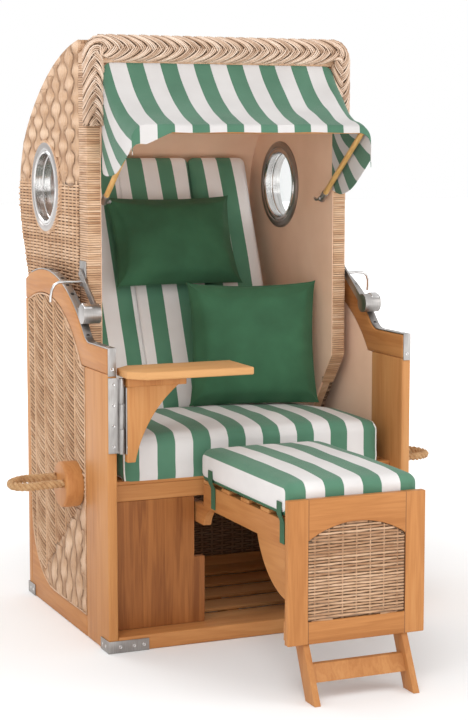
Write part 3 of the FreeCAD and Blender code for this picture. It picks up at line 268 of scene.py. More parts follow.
def teak(grain, depth=0.0):
    """Oiled teak with its grain along one axis. Depth darkens it, as painted shade and a darker wood; below 0
    it lightens it, as painted light and a paler wood.
    """
    material, feed, place = finish("teak_along_" + grain, **OILED)
    axes = dict(zip("xyz", place.axes()))
    along = axes.pop(grain)
    a, b = axes.values()
    plank = place.node("Attribute", {"attribute_name": "plank"}, {}, "Fac")
    figure = place.mottle(along * 1.7 + plank * 31, a * 26 + plank * 17, b * 26)
    rings = (figure * 46 + a * 60).call("SINE") * 0.5 + 0.5
    pores = place.mottle(along * 16, a * 520, b * 520, 2.0)
    patch = place.mottle(along * 3, a * 9 + plank * 5, b * 9, 1.0)
    tone = figure * 0.42 + rings * 0.07 + pores * 0.16 + patch * 0.3 + plank * 0.16 - 0.05 - depth
    feed("Base Color", tone.ramp((0.1, (0.21, 0.070, 0.020)), (0.32, (0.39, 0.150, 0.044)),
                                 (0.52, (0.50, 0.222, 0.074)), (0.8, (0.60, 0.315, 0.125))))
    feed("Roughness", pores * 0.25 + 0.36)
    feed("Normal", (pores * 0.7 + rings * 0.2).relief(0.0006, 0.35))
    return material


grain_of = {axis: teak(axis) for axis in "xyz"}
# The front panels' teak is darkened as painted shade and a darker tone; the table top's is lightened as painted
# light and a paler wood.
grain_of["shade"] = teak("z", 0.20)
grain_of["pale"] = teak("x", -0.3)
for node, grain, radius in (
        ("front_posts", "z", 0.004), ("rear_posts", "z", 0.003), ("bottom_rails", "y", 0.003),
        ("left_arm_rail", "y", 0.005), ("right_arm_rail", "y", 0.005), ("front_bottom_rail", "x", 0.004),
        ("rear_bottom_rail", "x", 0.003), ("rear_top_rail", "x", 0.004), ("seat_front_rail", "x", 0.003),
        ("front_panels", "shade", 0.002), ("seat_bearers", "y", 0.002), ("seat_slats", "x", 0.002),
        ("floor_slats", "x", 0.003), ("stool_guides", "y", 0.002), ("hood_back_rail", "x", 0.003),
        ("table_bracket", "z", 0.002), ("table_top", "pale", 0.004),
        ("stool_rails", "y", 0.003), ("stool_slats", "x", 0.002), ("stool_leg", "z", 0.003),
        ("stool_cleats", "y", 0.003), ("rope_bosses", "z", 0.007)):
    dress(eased(node, radius, 3), frame["nodes"][node]["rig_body"], "teak", grain_of[grain], node)

# The stool's front: two stiles with a bottom rail and an arched top rail tenoned between them.
# It is one solid in the frame, so fine dark joint lines and the turn of the grain are painted by place.
stool_front = eased("stool_front", 0.003, 3)
material, feed, place = finish("stool_front_teak", **OILED)
x, y, z = place.axes()
STILE_IN = 0.130
stiles = x.call("ABSOLUTE").ease(STILE_IN - 0.0004, STILE_IN + 0.0004)
joint = 1 - (x.call("ABSOLUTE") - STILE_IN).call("ABSOLUTE").ease(0.0003, 0.0012)
upright = place.mottle(x * 26, y * 26, z * 1.7 + 4)
level = place.mottle(x * 1.7, y * 26, z * 26 + 9)
figure = upright * stiles + level * (1 - stiles)
upright_pores = place.mottle(x * 520, y * 520, z * 16, 2.0)
level_pores = place.mottle(x * 16, y * 520, z * 520, 2.0)
pores = upright_pores * stiles + level_pores * (1 - stiles)
tone = figure * 0.45 + pores * 0.2 + (figure * 46).call("SINE") * 0.04 + stiles * 0.04 + 0.08
wood = tone.ramp((0.1, (0.26, 0.098, 0.032)), (0.32, (0.39, 0.152, 0.043)), (0.52, (0.50, 0.212, 0.066)),
                 (0.8, (0.59, 0.30, 0.112)))
feed("Base Color", joint.over(wood, (0.16, 0.07, 0.03, 1)))
feed("Roughness", pores * 0.25 + 0.36)
feed("Normal", (pores * 0.5 - joint * 1.5).relief(0.0006, 0.4))
dress(stool_front, "stool", "teak", material, "stool_front")

# Woven panels: round cane weavers over and under upright stakes, pale and uneven, with painted shade in the
# gaps.
# The hood's upper sides and roof are a heavier weave in wavy ribs. Each panel is laid out flat in metres.


def lay_out(piece, flat):
    """A flat layout for the weave, from each point's place."""
    layer = piece.data.uv_layers.new(name="weave")
    for loop in piece.data.loops:
        layer.data[loop.index].uv = flat(piece.data.vertices[loop.vertex_index].co)
    return piece


CANE_STOPS = ((0.22, (0.34, 0.175, 0.088)), (0.42, (0.53, 0.325, 0.192)), (0.6, (0.67, 0.455, 0.302)),
              (0.8, (0.78, 0.60, 0.435)))
# Painted shade: the dark brown in the gaps between weavers, and the brown in the creases between heavy rods.
GAP_SHADE = (0.085, 0.045, 0.024, 1)
CREASE_SHADE = (0.33, 0.195, 0.118, 1)


def cane(name, weaver, stake, gap, heavy_rib=None, heavy_row=None, heavy_from=None, slant=0.0, tilt=0.0,
         bright=0.35):
    """Plain weave of weavers round stakes. Slant drops each weaver by so many rows between two stakes.
    Above heavy_from, or below it where the panel is tilted, thick rods swell and pinch in turn.
    Bright is the share of full tone that the plain weave keeps where real canes lie over it; the rest is
    painted shade under them."""
    material, feed, place = finish(name, Specular_IOR_Level=0.2)
    u, v, flat = place.node("UVMap", {"uv_map": "weave"}, {}, "UV").axes()
    wobble = place.mottle(u * 14, v * 14, 3.0, 2.0) - 0.5
    near = u / stake + wobble * 0.25
    near = near - (near + 0.5).call("FLOOR")
    row = v / weaver + wobble * 0.7 - near * slant
    index = row.call("FLOOR")
    inside = row - index - 0.5
    swing = (u * (math.pi / stake) + index * math.pi + wobble * 0.8).call("COSINE")
    body = (1 - inside * inside * 4) * (0.62 + 0.2 * min(slant, 1)) + swing * (0.38 - 0.25 * min(slant, 1))
    rod = (1 - near * near * 46) * 0.55
    height = body.call("MAXIMUM", rod)
    strand = place.mottle(u * 11, index * 3.7, 0.5, 2.0) * 0.62 + place.mottle(u * 3, v * 3, 8.0, 2.0) * 0.42
    fibre = place.mottle(u * 60, v * 900, 1.0, 1.0)
    tone = strand + fibre * 0.16 - 0.06
    # Painted shade: the weave darkens towards the gap colour where it lies low.
    shade = height.ease(-0.02, gap)
    hollow_shade = GAP_SHADE
    if heavy_rib:
        lift = v + u * tilt
        wave = (lift * (math.pi / heavy_row)).call("SINE") * (u * (math.pi / heavy_rib)).call("COSINE")
        uneven = place.mottle(u * 34, lift * 34, 9.0, 2.0) - 0.5
        column = u / heavy_rib + wave * 0.20 + wobble * 0.9 + uneven * 0.6
        rib = column.call("FLOOR")
        across = column - rib - 0.5
        split = column * 4 - (column * 4).call("FLOOR") - 0.5
        swell = (lift * (math.pi / heavy_row)).call("SINE") * (rib * math.pi).call("COSINE")
        thick = (1 - across * across * 4) * 0.56 + swell * 0.22 + (1 - split * split * 4) * 0.22
        border = v + u * tilt * 2.3 + wobble * 0.08
        if tilt:
            level = 1 - border.ease(heavy_from - 0.03, heavy_from + 0.03)
        else:
            level = border.ease(heavy_from - 0.012, heavy_from + 0.012)
        height = thick * level + height * (1 - level)
        # Painted shade on the heavy rods: each is lit in its middle and darker at its sides and in the creases
        # between rods.
        shade = (thick.ease(-0.1, 0.9) * 0.86 + 0.14) * level + shade * (1 - level)
        own = place.mottle(rib * 5.1, lift / heavy_row, 2.0, 1.0) * 0.6 + swell * 0.08 + fibre * 0.16 + 0.08
        own = own + place.mottle(column * 9, lift * 30, 6.0, 2.0) * 0.2 - 0.1
        tone = tone * (1 - level) + own * level
        hollow_shade = level.over(GAP_SHADE, CREASE_SHADE)
        # Painted shade under the real canes: the plain weave keeps only the share bright of its tone.
        shade = shade * (level + (1 - level) * bright)
    else:
        shade = shade * bright
    feed("Base Color", shade.over(hollow_shade, tone.ramp(*CANE_STOPS)))
    feed("Roughness", 0.72 - height * 0.2)
    feed("Normal", height.relief(0.008 if heavy_rib else 0.004, 1.0))
    return material


SIDE_PITCH, SIDE_STAKE, SIDE_SLANT = 0.0118, 0.090, 3
SIDE_ROD, SIDE_SWELL, SIDE_TILT = 0.044, 0.060, 0.34
HOOD_PITCH, HOOD_STAKE = 0.0088, 0.034
HOOD_ROD, HOOD_SWELL, HOOD_HEAVY = 0.058, 0.034, 1.205
STOOL_STAKE = 0.037
# All these panels but the roof lie under real canes and are painted in shade there; the roof keeps its full
# tone.
side_weave = cane("side_panel_cane", SIDE_PITCH, SIDE_STAKE, 0.95, SIDE_ROD, SIDE_SWELL, 0.264,
                  slant=SIDE_SLANT, tilt=SIDE_TILT)
shaded_rear_weave = cane("rear_panel_cane", 0.0075, 0.034, 0.5)
fine_weave = cane("stool_panel_cane", 0.0063, STOOL_STAKE, 0.62)
hood_weave = cane("hood_side_cane", HOOD_PITCH, HOOD_STAKE, 0.80, HOOD_ROD, HOOD_SWELL, HOOD_HEAVY)
roof_weave = cane("hood_back_cane", HOOD_PITCH, HOOD_STAKE, 0.80, HOOD_ROD, HOOD_SWELL, 0.66, bright=1.0)
panels = {}
for node, weave in (("left_side_wicker", side_weave), ("right_side_wicker", side_weave),
                    ("left_hood_wicker", hood_weave), ("right_hood_wicker", hood_weave)):
    panels[node] = lay_out(eased(node, 0.0038, 3), lambda co: (co.y, co.z))
    dress(panels[node], frame["nodes"][node]["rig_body"], "wicker", weave, node)
for node, weave in (("rear_wicker", shaded_rear_weave), ("stool_wicker", fine_weave)):
    panels[node] = lay_out(eased(node, 0.002), lambda co: (co.x, co.z))
    dress(panels[node], frame["nodes"][node]["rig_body"], "wicker", weave, node)
roof = eased("hood_back_wicker", 0.002)
inside_hood = (0.1, 1.0)
profile = sorted({(round(v.co.y, 4), round(v.co.z, 4)) for v in roof.data.vertices},
                 key=lambda p: math.atan2(p[1] - inside_hood[1], p[0] - inside_hood[0]))
outer = [Vector(p) for p in profile if (Vector(p) - Vector(inside_hood)).length > 0.30]
steps = [0.0]
for before, after in zip(outer, outer[1:]):
    steps.append(steps[-1] + (after - before).length)


def along_roof(co):
    """A place on the roof and back: across, and half its way along the outer profile."""
    spot = Vector((co.y, co.z))
    nearest = min(range(len(outer)), key=lambda i: (outer[i] - spot).length_squared)
    return (co.x, steps[nearest] * 0.5)


dress(lay_out(roof, along_roof), "hood", "wicker", roof_weave, "hood_back_wicker")

# The weaving itself lies over those panels: weavers go in and out round stakes, or slant from one to the next.
# The heavy parts are thick bundled rods that swell and pinch in turn, each filling its neighbour's hollows.


def tube(name, lines, radius, sides=1, closed=False):
    """Round strands along lines of points, as one mesh. A point's fourth number, if any, swells it there."""
    curve = bpy.data.curves.new(name, "CURVE")
    curve.dimensions = "3D"
    curve.bevel_depth = radius
    curve.bevel_resolution = sides
    curve.use_fill_caps = True
    for points in lines:
        spline = curve.splines.new("POLY")
        spline.points.add(len(points) - 1)
        for point, spot in zip(spline.points, points):
            point.co = (*spot[:3], 1)
            point.radius = spot[3] if len(spot) > 3 else 1.0
        spline.use_cyclic_u = closed
    strand = bpy.data.objects.new(name, curve)
    bpy.context.scene.collection.objects.link(strand)
    only(strand)
    bpy.ops.object.convert(target="MESH")
    strand = bpy.context.object
    bpy.ops.object.shade_smooth()
    return strand


def kept(panel, facing, runs, half=0.0):
    """The stretches of each run that lie over the panel's face, each point set off the face by its own lift.
    Where a run is a rod with half a width, its whole width lies there."""
    lines = []
    for run in runs:
        line = []
        for spot, lift, swell in run:
            aside = Vector((0, half * swell, 0))
            tries = (spot - aside, spot + aside) if half else (spot,)
            hits = [panel.ray_cast(start + facing, -facing) for start in tries]
            if all(hit[0] and hit[2].dot(facing) > 0.9 for hit in hits):
                at = (hits[0][1] + hits[-1][1]) / 2
                line.append((*(at + facing * lift), swell))
                continue
            if len(line) > 2:
                lines.append(line)
            line = []
        if len(line) > 2:
            lines.append(line)
    return lines


def steps_between(low, high, step):
    """Even steps from low to high, about as long as asked."""
    count = max(round((high - low) / step), 1)
    return [low + (high - low) * k / count for k in range(count + 1)]


def plain_weave(at, low, high, bottom, top, pitch, stake, depth, stake_lift=0.0, stake_size=0.9):
    """Runs for weavers between two heights, and for the stakes that they pass."""
    runs = []
    for row in range(int((top - bottom) / pitch)):
        v = bottom + (row + 0.5) * pitch
        run = []
        for u in steps_between(low, high, stake / 4):
            bob = 0.0012 * noise.noise((u * 9, v * 40, 1.0))
            run.append((at(u, v + bob), depth * math.cos(math.pi * (u / stake + row)), 1.0))
        runs.append(run)
    for k in range(math.ceil(low / stake), int(high / stake) + 1):
        runs.append([(at(k * stake, v), stake_lift, stake_size) for v in steps_between(bottom, top, pitch * 2)])
    return runs


def rods(at, low, high, bottom, top, wide, row, tilt, wanted):
    """Runs for thick rods side by side, whose widths swell and pinch in turn."""
    runs = []
    for k in range(math.floor(low / wide), math.ceil(high / wide)):
        run = []
        for v in steps_between(bottom, top, row / 7):
            u = (k + 0.5) * wide
            wave = math.sin(math.pi * (v + u * tilt) / row) * (-1) ** k
            if wanted(u, v):
                run.append((at(u, v), 0.0, 1.04 + 0.38 * wave + 0.10 * noise.noise((k * 7.1, v * 26, 2.0))))
        runs.append(run)
    return runs


def cane_finish(name, along, across, darker):
    """Peeled cane: each strand has its own tone, with fibres along it."""
    material, feed, place = finish(name, Specular_IOR_Level=0.2)
    x, y, z = place.axes()
    own = place.node("Attribute", {"attribute_name": "plank"}, {}, "Fac")
    fibre = place.mottle(x * across, y * across, z * along, 2.0)
    patch = place.mottle(x * 7, y * 7, z * 7, 2.0)
    spot = place.mottle(x * 40, y * 40, z * 40, 2.0)
    tone = own * 0.24 + fibre * 0.30 + patch * 0.36 + spot * 0.25 - darker
    feed("Base Color", tone.ramp(*CANE_STOPS))
    feed("Roughness", 0.55 + fibre * 0.25)
    feed("Normal", fibre.relief(0.0012, 0.6))
    return material


def on_side(u, v):
    """A place in the plane of a panel at the chair's side."""
    return Vector((0, u, v))


def on_front(u, v):
    """A place in the plane of a panel across the chair."""
    return Vector((u, 0, v))


BORDER_FALL, BORDER_HEIGHT = 0.782, 0.252


def above_rods(u, v):
    """Whether a place on a side panel is above the slanting border of its heavy rods."""
    return v + u * BORDER_FALL > BORDER_HEIGHT


def slanted_weave(stake, pitch, slant):
    """Runs for weavers that rise by so many rows from each stake to the next, bowed out between the two."""
    runs = []
    for k in range(-3, 5):
        for row in range(100):
            run = []
            for t in steps_between(0.0, 1.0, 0.125):
                u = (k + t) * stake
                bob = 0.0015 * noise.noise((k + t, row * 0.9, 5.0))
                v = row * pitch + (t - 0.5) * slant * pitch + bob
                if above_rods(u, v):
                    run.append((on_side(u, v), 0.0042 * math.sin(math.pi * t) - 0.0014, 1.0))
            runs.append(run)
        heights = [v for v in steps_between(0.0, 1.0, 0.02) if above_rods(k * stake, v)]
        runs.append([(on_side(k * stake, v), 0.0010, 1.15) for v in heights])
    return runs


def flat_rods(name, panel, out, aim, runs, wide, half, depth):
    """Rods kept over a panel, pressed flat to a share of their depth, and laid out as the panel is."""
    thick = tube(name, kept(panel, out, runs, half), wide / 2, 4)
    face = panel.ray_cast(aim + out, -out)[1].x
    for vertex in thick.data.vertices:
        vertex.co.x = face + (vertex.co.x - face) * depth
    return lay_out(thick, lambda co: (co.y, co.z))


weaver_cane = cane_finish("weaver_cane", 900, 60, 0.14)
pink_cane = cane_finish("stool_weaver_cane", 900, 60, 0.17)
for side, name in ((-1, "left"), (1, "right")):
    out = Vector((side, 0, 0))
    panel = panels[name + "_hood_wicker"]
    runs = plain_weave(on_side, -0.01, 0.60, 0.66, HOOD_HEAVY + 0.009, HOOD_PITCH, HOOD_STAKE, 0.0016)
    canes = tube(name + "_hood_canes", kept(panel, out, runs), 0.0036, 1)
    dress(number_pieces(canes), "hood", "wicker", weaver_cane)
    runs = rods(on_side, -0.01, 0.60, HOOD_HEAVY - 0.005, 1.58, HOOD_ROD, HOOD_SWELL, 0.0, lambda u, v: True)
    thick = flat_rods(name + "_hood_rods", panel, out, on_side(0.1, 1.3), runs, HOOD_ROD, 0.026, 0.13)
    dress(thick, "hood", "wicker", hood_weave)
    panel = panels[name + "_side_wicker"]
    runs = slanted_weave(SIDE_STAKE, SIDE_PITCH, SIDE_SLANT)
    canes = tube(name + "_side_canes", kept(panel, out, runs), 0.0032, 1)
    dress(number_pieces(canes), "base", "wicker", weaver_cane)
    runs = rods(on_side, -0.20, 0.34, 0.02, 0.50, SIDE_ROD, SIDE_SWELL, SIDE_TILT,
                lambda u, v: not above_rods(u, v))
    thick = flat_rods(name + "_side_rods", panel, out, on_side(0.0, 0.5), runs, SIDE_ROD, 0.020, 0.16)
    dress(thick, "base", "wicker", side_weave)
runs = plain_weave(on_front, -0.1285, 0.1285, 0.08, 0.44, 0.0075, STOOL_STAKE, 0.0020, -0.0010, 0.7)
canes = tube("stool_canes", kept(panels["stool_wicker"], Vector((0, -1, 0)), runs), 0.0027, 1)
dress(number_pieces(canes), "stool", "wicker", pink_cane)
runs = plain_weave(on_front, -0.43, 0.43, 0.02, 0.46, 0.0105, 0.040, 0.0017)
canes = tube("rear_canes", kept(panels["rear_wicker"], Vector((0, 1, 0)), runs), 0.0042, 1)
dress(number_pieces(canes), "base", "wicker", weaver_cane)

# Thin cane beading is tacked round each woven side panel, where the weave meets the wood.
# It is one round strand: a quarter turn at the low rear corner, the arm's arch, and the front post's edge.
material, feed, place = finish("bead_cane", Roughness=0.6)
x, y, z = place.axes()
tone = place.mottle(x * 30, y * 30, z * 30) * 0.7 + place.mottle(x * 300, y * 300, z * 300, 1.0) * 0.25
feed("Base Color", tone.ramp(*CANE_STOPS))
feed("Normal", tone.relief(0.001, 0.4))
bead_cane = material
PANEL_FACE = 0.4395
ARM_MIDDLE = (0.178, 0.5)


def arc(x, middle, radius, first, last, count):
    """Points along an arc in a plane square to X, between two angles in degrees."""
    turns = [math.radians(first + (last - first) * k / (count - 1)) for k in range(count)]
    return [(x, middle[0] + radius * math.cos(turn), middle[1] + radius * math.sin(turn)) for turn in turns]


for side, name in ((-1, "left"), (1, "right")):
    face = PANEL_FACE * side
    rim = arc(face, (0.115, 0.257), 0.197, -90, 0, 10) + arc(face, ARM_MIDDLE, 0.397, 68, 144.5, 19)
    rim += [(face, -0.172, 0.729), (face, -0.172, 0.060)]
    dress(tube(name + "_panel_bead", [rim], 0.0026, 1, True), "base", "wicker", bead_cane)

# The hood's front posts are bound with flat split cane, wound edge to edge from top to bottom.
# One band is modelled and repeated, and the post's slanted foot is then cut across the winding.
BAND = 0.0063
BANDS = 144
WINDING_FOOT = 0.622
POST_Y = -0.022


def block(name, middle, sizes):
    """A box of these sizes, to be worked into a piece."""
    bpy.ops.object.select_all(action="DESELECT")
    bpy.ops.mesh.primitive_cube_add(size=1, location=middle)
    piece = bpy.context.object
    piece.name = name
    piece.scale = sizes
    bpy.ops.object.transform_apply(location=True, rotation=True, scale=True)
    return piece


def cut_foot(piece, height):
    """Cut a piece along the slant of the hood's foot, at a height on the posts' middle."""
    with editing(piece):
        bpy.ops.mesh.bisect(plane_co=(0, POST_Y, height), plane_no=(0, 0.791, 0.612), use_fill=True,
                            clear_inner=True)


material, feed, place = finish("split_cane", Specular_IOR_Level=0.25)
x, y, z = place.axes()
row = ((z - WINDING_FOOT) / BAND).call("FLOOR")
edge = ((z - WINDING_FOOT) / BAND - row - 0.5).call("ABSOLUTE")
worn = place.mottle(x * 9, y * 9, row * 5.3, 2.0)
fibre = place.mottle(x * 90, y * 90, z * 1400, 1.0)
patch = place.mottle(x * 2, y * 2, z * 22, 2.0)
tone = worn * 0.75 + fibre * 0.16 + patch * 0.45 - 0.23
line = edge.ease(0.30, 0.5) * place.mottle(x, y, row * 3.1 + 5, 1.0).ease(0.42, 0.6)
feed("Base Color", line.over(tone.ramp(*CANE_STOPS), (0.12, 0.06, 0.03, 1)))
feed("Roughness", 0.42 + fibre * 0.3)
feed("Normal", (fibre * 0.4).relief(0.0006, 0.5))
for side, name in ((-1, "left"), (1, "right")):
    post = block(name + "_bound_post", (0.3685 * side, POST_Y, WINDING_FOOT + BAND / 2), (0.0388, 0.0698, BAND))
    apply(post, "flat", "BEVEL", width=0.0024, segments=2)
    apply(post, "winding", "ARRAY", count=BANDS, use_relative_offset=False, use_constant_offset=True,
          constant_offset_displace=(0, 0, BAND))
    cut_foot(post, 0.668)
    bpy.ops.object.shade_smooth_by_angle(angle=math.radians(50))
    dress(post, "hood", "wicker", material)
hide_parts("hood_posts")

# The hood's edge is a thick flat braid: bundles of peeled cane cross from both rims and dive under each other.
# It runs up the left post, round both corners and down the right post, over a roll of cane painted dark as the
# shade between its bundles.
BRAID_HALF = 0.0345
CORNER = 0.022
MID = 0.3665
TOP = 1.5705
BRAID_FOOT = 1.362
RISE = TOP - CORNER - BRAID_FOOT
BEND = CORNER * math.pi / 2
SPAN = 2 * (MID - CORNER)
braid_length = RISE + BEND + SPAN + BEND + RISE


def held(value):
    """A value kept between 0 and 1."""
    return min(max(value, 0.0), 1.0)


def on_braid(along, across, lift):
    """A place on the braid: along its run, across it from inner to outer rim, and off the roll."""
    along = min(max(along, 0.0), braid_length)
    if along < RISE:
        x, z, out = -MID, BRAID_FOOT + along, Vector((-1, 0, 0))
    elif along < RISE + BEND:
        turn = (along - RISE) / CORNER
        out = Vector((-math.cos(turn), 0, math.sin(turn)))
        x, z = -MID + CORNER + out.x * CORNER, TOP - CORNER + out.z * CORNER
    elif along < RISE + BEND + SPAN:
        x, z, out = -MID + CORNER + along - RISE - BEND, TOP, Vector((0, 0, 1))
    elif along < RISE + BEND * 2 + SPAN:
        turn = (along - RISE - BEND - SPAN) / CORNER
        out = Vector((math.sin(turn), 0, math.cos(turn)))
        x, z = MID - CORNER + out.x * CORNER, TOP - CORNER + out.z * CORNER
    else:
        x, z, out = MID, TOP - CORNER - (along - RISE - BEND * 2 - SPAN), Vector((1, 0, 0))
    narrow = 1 - 0.14 * out.x * out.x
    share = across / BRAID_HALF
    y = -0.050 - 0.022 * math.sqrt(max(1 - (share * 0.98) ** 2, 0.0)) - lift
    near = min(abs(along - RISE - BEND / 2), abs(along - RISE - BEND * 1.5 - SPAN)) - BEND / 2
    tight = held(near / 0.035)
    inner = (0.002 - CORNER) * (1 - tight) - BRAID_HALF * tight
    return Vector((x, y, z)) + out * narrow * max(across, inner) * (1 + lift * 6)


def sheet_through(name, rows):
    """A sheet through rows of points, as one mesh."""
    wide = len(rows[0])
    mesh = bpy.data.meshes.new(name)
    mesh.from_pydata([spot for row in rows for spot in row], [],
                     [(i * wide + j, i * wide + j + 1, (i + 1) * wide + j + 1, (i + 1) * wide + j)
                      for i in range(len(rows) - 1) for j in range(wide - 1)])
    sheet = bpy.data.objects.new(name, mesh)
    bpy.context.scene.collection.objects.link(sheet)
    return sheet


strands = []
BUNDLE_PITCH = 0.0315
CANE_PITCH = 0.0063
for i in range(-2, int(braid_length / BUNDLE_PITCH) + 1):
    for hand in (-1, 1):
        for k in range(4):
            start = i * BUNDLE_PITCH + (BUNDLE_PITCH / 2 if hand > 0 else 0) + k * CANE_PITCH
            line = []
            for step in range(11):
                t = step / 10
                sway = 0.0012 * noise.noise((start * 40, t * 3, hand * 5.0))
                across = hand * (BRAID_HALF * (1.0 - 1.38 * t) + 0.004 * math.sin(math.pi * t) + sway)
                lift = 0.0042 * math.sin(math.pi * min(t * 1.25, 1)) - 0.008 * max(t - 0.74, 0) / 0.26
                lift += 0.0035 * math.cos((k - 1.5) / 2.0 * math.pi / 2) - 0.002
                along = start + 0.064 * t + 0.010 * math.sin(math.pi * t)
                if 0 <= along <= braid_length:
                    line.append(on_braid(along, across, lift))
            if len(line) > 3:
                strands.append(line)
braid = number_pieces(tube("hood_edge_braid", strands, 0.0021, 1))
material, feed, place = finish("peeled_cane")
x, y, z = place.axes()
cane_tone = place.node("Attribute", {"attribute_name": "plank"}, {}, "Fac")
patch = place.mottle(x * 25, y * 25, z * 25, 2.0)
fibre = place.mottle(x * 420, y * 420, z * 420, 2.0)
tone = patch * 0.35 + fibre * 0.2 + cane_tone * 0.34 + 0.02
feed("Base Color", tone.ramp((0.25, (0.34, 0.20, 0.12)), (0.42, (0.56, 0.39, 0.275)),
                             (0.56, (0.69, 0.52, 0.40)), (0.75, (0.80, 0.66, 0.54))))
feed("Roughness", 0.45 + fibre * 0.3)
feed("Normal", fibre.relief(0.0007, 0.5))
dress(braid, "hood", "wicker", material, "hood_braid")
rows = []
for i in range(141):
    along = braid_length * i / 140
    rows.append([on_braid(along, BRAID_HALF * (j / 6 - 1) * 0.95, -0.009) for j in range(13)])
roll = sheet_through("hood_edge_roll", rows)
apply(roll, "thick", "SOLIDIFY", thickness=0.006, offset=0)
bpy.ops.object.shade_smooth()
rail = eased("hood_top_rail", 0.003)
with editing(rail):
    for side in (-1, 1):
        bpy.ops.mesh.select_all(action="SELECT")
        bpy.ops.mesh.bisect(plane_co=(0.365 * side, 0, 1.578), plane_no=(0.707 * side, 0, 0.707), use_fill=True,
                            clear_outer=True)
dress(rail, "hood", "teak", bead_cane, "hood_top_rail")
# The roll is painted dark brown: painted shade between the braid's bundles.
material, feed, place = finish("shaded_roll_cane", Roughness=0.8)
x, y, z = place.axes()
tone = place.mottle(x * 90, y * 90, z * 90)
feed("Base Color", tone.ramp((0.3, (0.10, 0.055, 0.03)), (0.7, (0.36, 0.23, 0.14))))
dress(roll, "hood", "wicker", material)

# The linings are a plain tan cloth stretched over board inside the hood and the arms.
# The cloth is also turned round the posts' inner faces and tacked along their front edges.
material, feed, place = finish("tan_lining", Sheen_Weight=0.15, Sheen_Roughness=0.6)
x, y, z = place.axes()
thread = (y * 2400 + x * 2400).call("SINE") * (z * 2400).call("SINE")
patch = place.mottle(x * 5, y * 5, z * 5)
tone = patch * 0.8 + thread * 0.05 + 0.08
feed("Base Color", tone.ramp((0.25, (0.78, 0.48, 0.31)), (0.5, (0.88, 0.57, 0.39)),
                             (0.75, (0.94, 0.66, 0.475))))
feed("Roughness", 0.78 + thread * 0.06)
feed("Normal", thread.relief(0.0004, 0.3))
for side, name in ((-1, "left"), (1, "right")):
    facing = block(name + "_post_lining", (0.3485 * side, -0.0215, 1.086), (0.002, 0.067, 0.886))
    cut_foot(facing, 0.671)
    apply(facing, "soft", "BEVEL", width=0.0008, segments=2, limit_method="ANGLE")
    dress(facing, "hood", "lining", material)
for node in ("side_linings", "hood_side_linings", "hood_back_lining"):
    coat(frame["nodes"][node], material)
coat(frame["nodes"]["hood_side_cores"], bead_cane)

# Steel fittings: arm strips with lock holes, corner brackets, hinge leaves, bolts and lock plates.
# They are cut from brushed sheet, softly rounded, and fixed with low screws that have a sunk recess.
material, feed, place = finish("brushed_steel", Metallic=1.0)
x, y, z = place.axes()
scratch = place.mottle(x * 700, y * 12, z * 25, 2.0)
smear = place.mottle(x * 16, y * 16, z * 16, 2.0)
tone = scratch * 0.35 + smear * 0.5
feed("Base Color", tone.ramp((0.2, (0.24, 0.222, 0.21)), (0.55, (0.44, 0.42, 0.405)),
                             (0.85, (0.66, 0.64, 0.625))))
feed("Roughness", 0.22 + scratch * 0.18 + smear * 0.12)
feed("Normal", scratch.relief(0.0002, 0.25))
steel = material
material, feed, place = finish("polished_ring", Metallic=1.0)
x, y, z = place.axes()
smear = place.mottle(x * 30, y * 18, z * 18, 2.0)
feed("Base Color", smear.ramp((0.3, (0.50, 0.485, 0.475)), (0.7, (0.70, 0.685, 0.675))))
feed("Roughness", smear * 0.18 + 0.14)
polished = material
material, feed, place = finish("hole_shadow", Roughness=0.9)
x, y, z = place.axes()
tone = place.mottle(x * 200, y * 200, z * 200)
feed("Base Color", tone.ramp((0.3, (0.008, 0.006, 0.005)), (0.7, (0.03, 0.022, 0.018))))
hole_shadow = material
for node, radius in (("arm_strips", 0.0009), ("corner_brackets", 0.0009), ("hood_pivot_bolts", 0.0015),
                     ("hood_lock_plates", 0.001), ("table_hinge_plate", 0.0008), ("table_hinge_leaf", 0.0008)):
    dress(eased(node, radius), frame["nodes"][node]["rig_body"], "steel", steel, node)


def turned(name, sides, radius, length, soft, segments, **limits):
    """A round or many-sided bar on the origin, standing along Z, with softened rims."""
    bpy.ops.object.select_all(action="DESELECT")
    bpy.ops.mesh.primitive_cylinder_add(vertices=sides, radius=radius, depth=length)
    bar = bpy.context.object
    bar.name = name
    return apply(bar, "rim", "BEVEL", width=soft, segments=segments, limit_method="ANGLE", **limits)


def stand(piece, spot, along, side="Y"):
    """Move a piece from the origin to its spot, with its Z turned along a direction."""
    turn = Vector(along).to_track_quat("Z", side).to_matrix().to_4x4()
    piece.data.transform(Matrix.Translation(Vector(spot)) @ turn)


def joined(name, pieces):
    """Several pieces made into one."""
    bpy.ops.object.select_all(action="DESELECT")
    for piece in pieces:
        piece.select_set(True)
    bpy.context.view_layer.objects.active = pieces[0]
    bpy.ops.object.join()
    pieces[0].name = name
    return pieces[0]


def screw(name):
    """A low domed screw head with a recess sunk into it, on the origin, facing +Z."""
    head = turned(name, 16, 0.0048, 0.0016, 0.0007, 2)
    bpy.ops.object.mode_set(mode="EDIT")
    bpy.ops.mesh.select_all(action="DESELECT")
    bpy.ops.object.mode_set(mode="OBJECT")
    for face in head.data.polygons:
        face.select = face.normal.z > 0.99
    bpy.ops.object.mode_set(mode="EDIT")
    bpy.ops.mesh.select_mode(type="FACE")
    bpy.ops.mesh.inset(thickness=0.0026, depth=-0.0009)
    bpy.ops.object.mode_set(mode="OBJECT")
    bpy.ops.object.shade_smooth_by_angle(angle=math.radians(35))
    return head


def set_screws(name, spots, body):
    """Copies of one screw at places with facings, joined as one piece."""
    heads = []
    for spot, facing in spots:
        heads.append(screw(name + str(len(heads))))
        stand(heads[-1], spot, facing)
    return dress(joined(name, heads), body, "steel", polished)


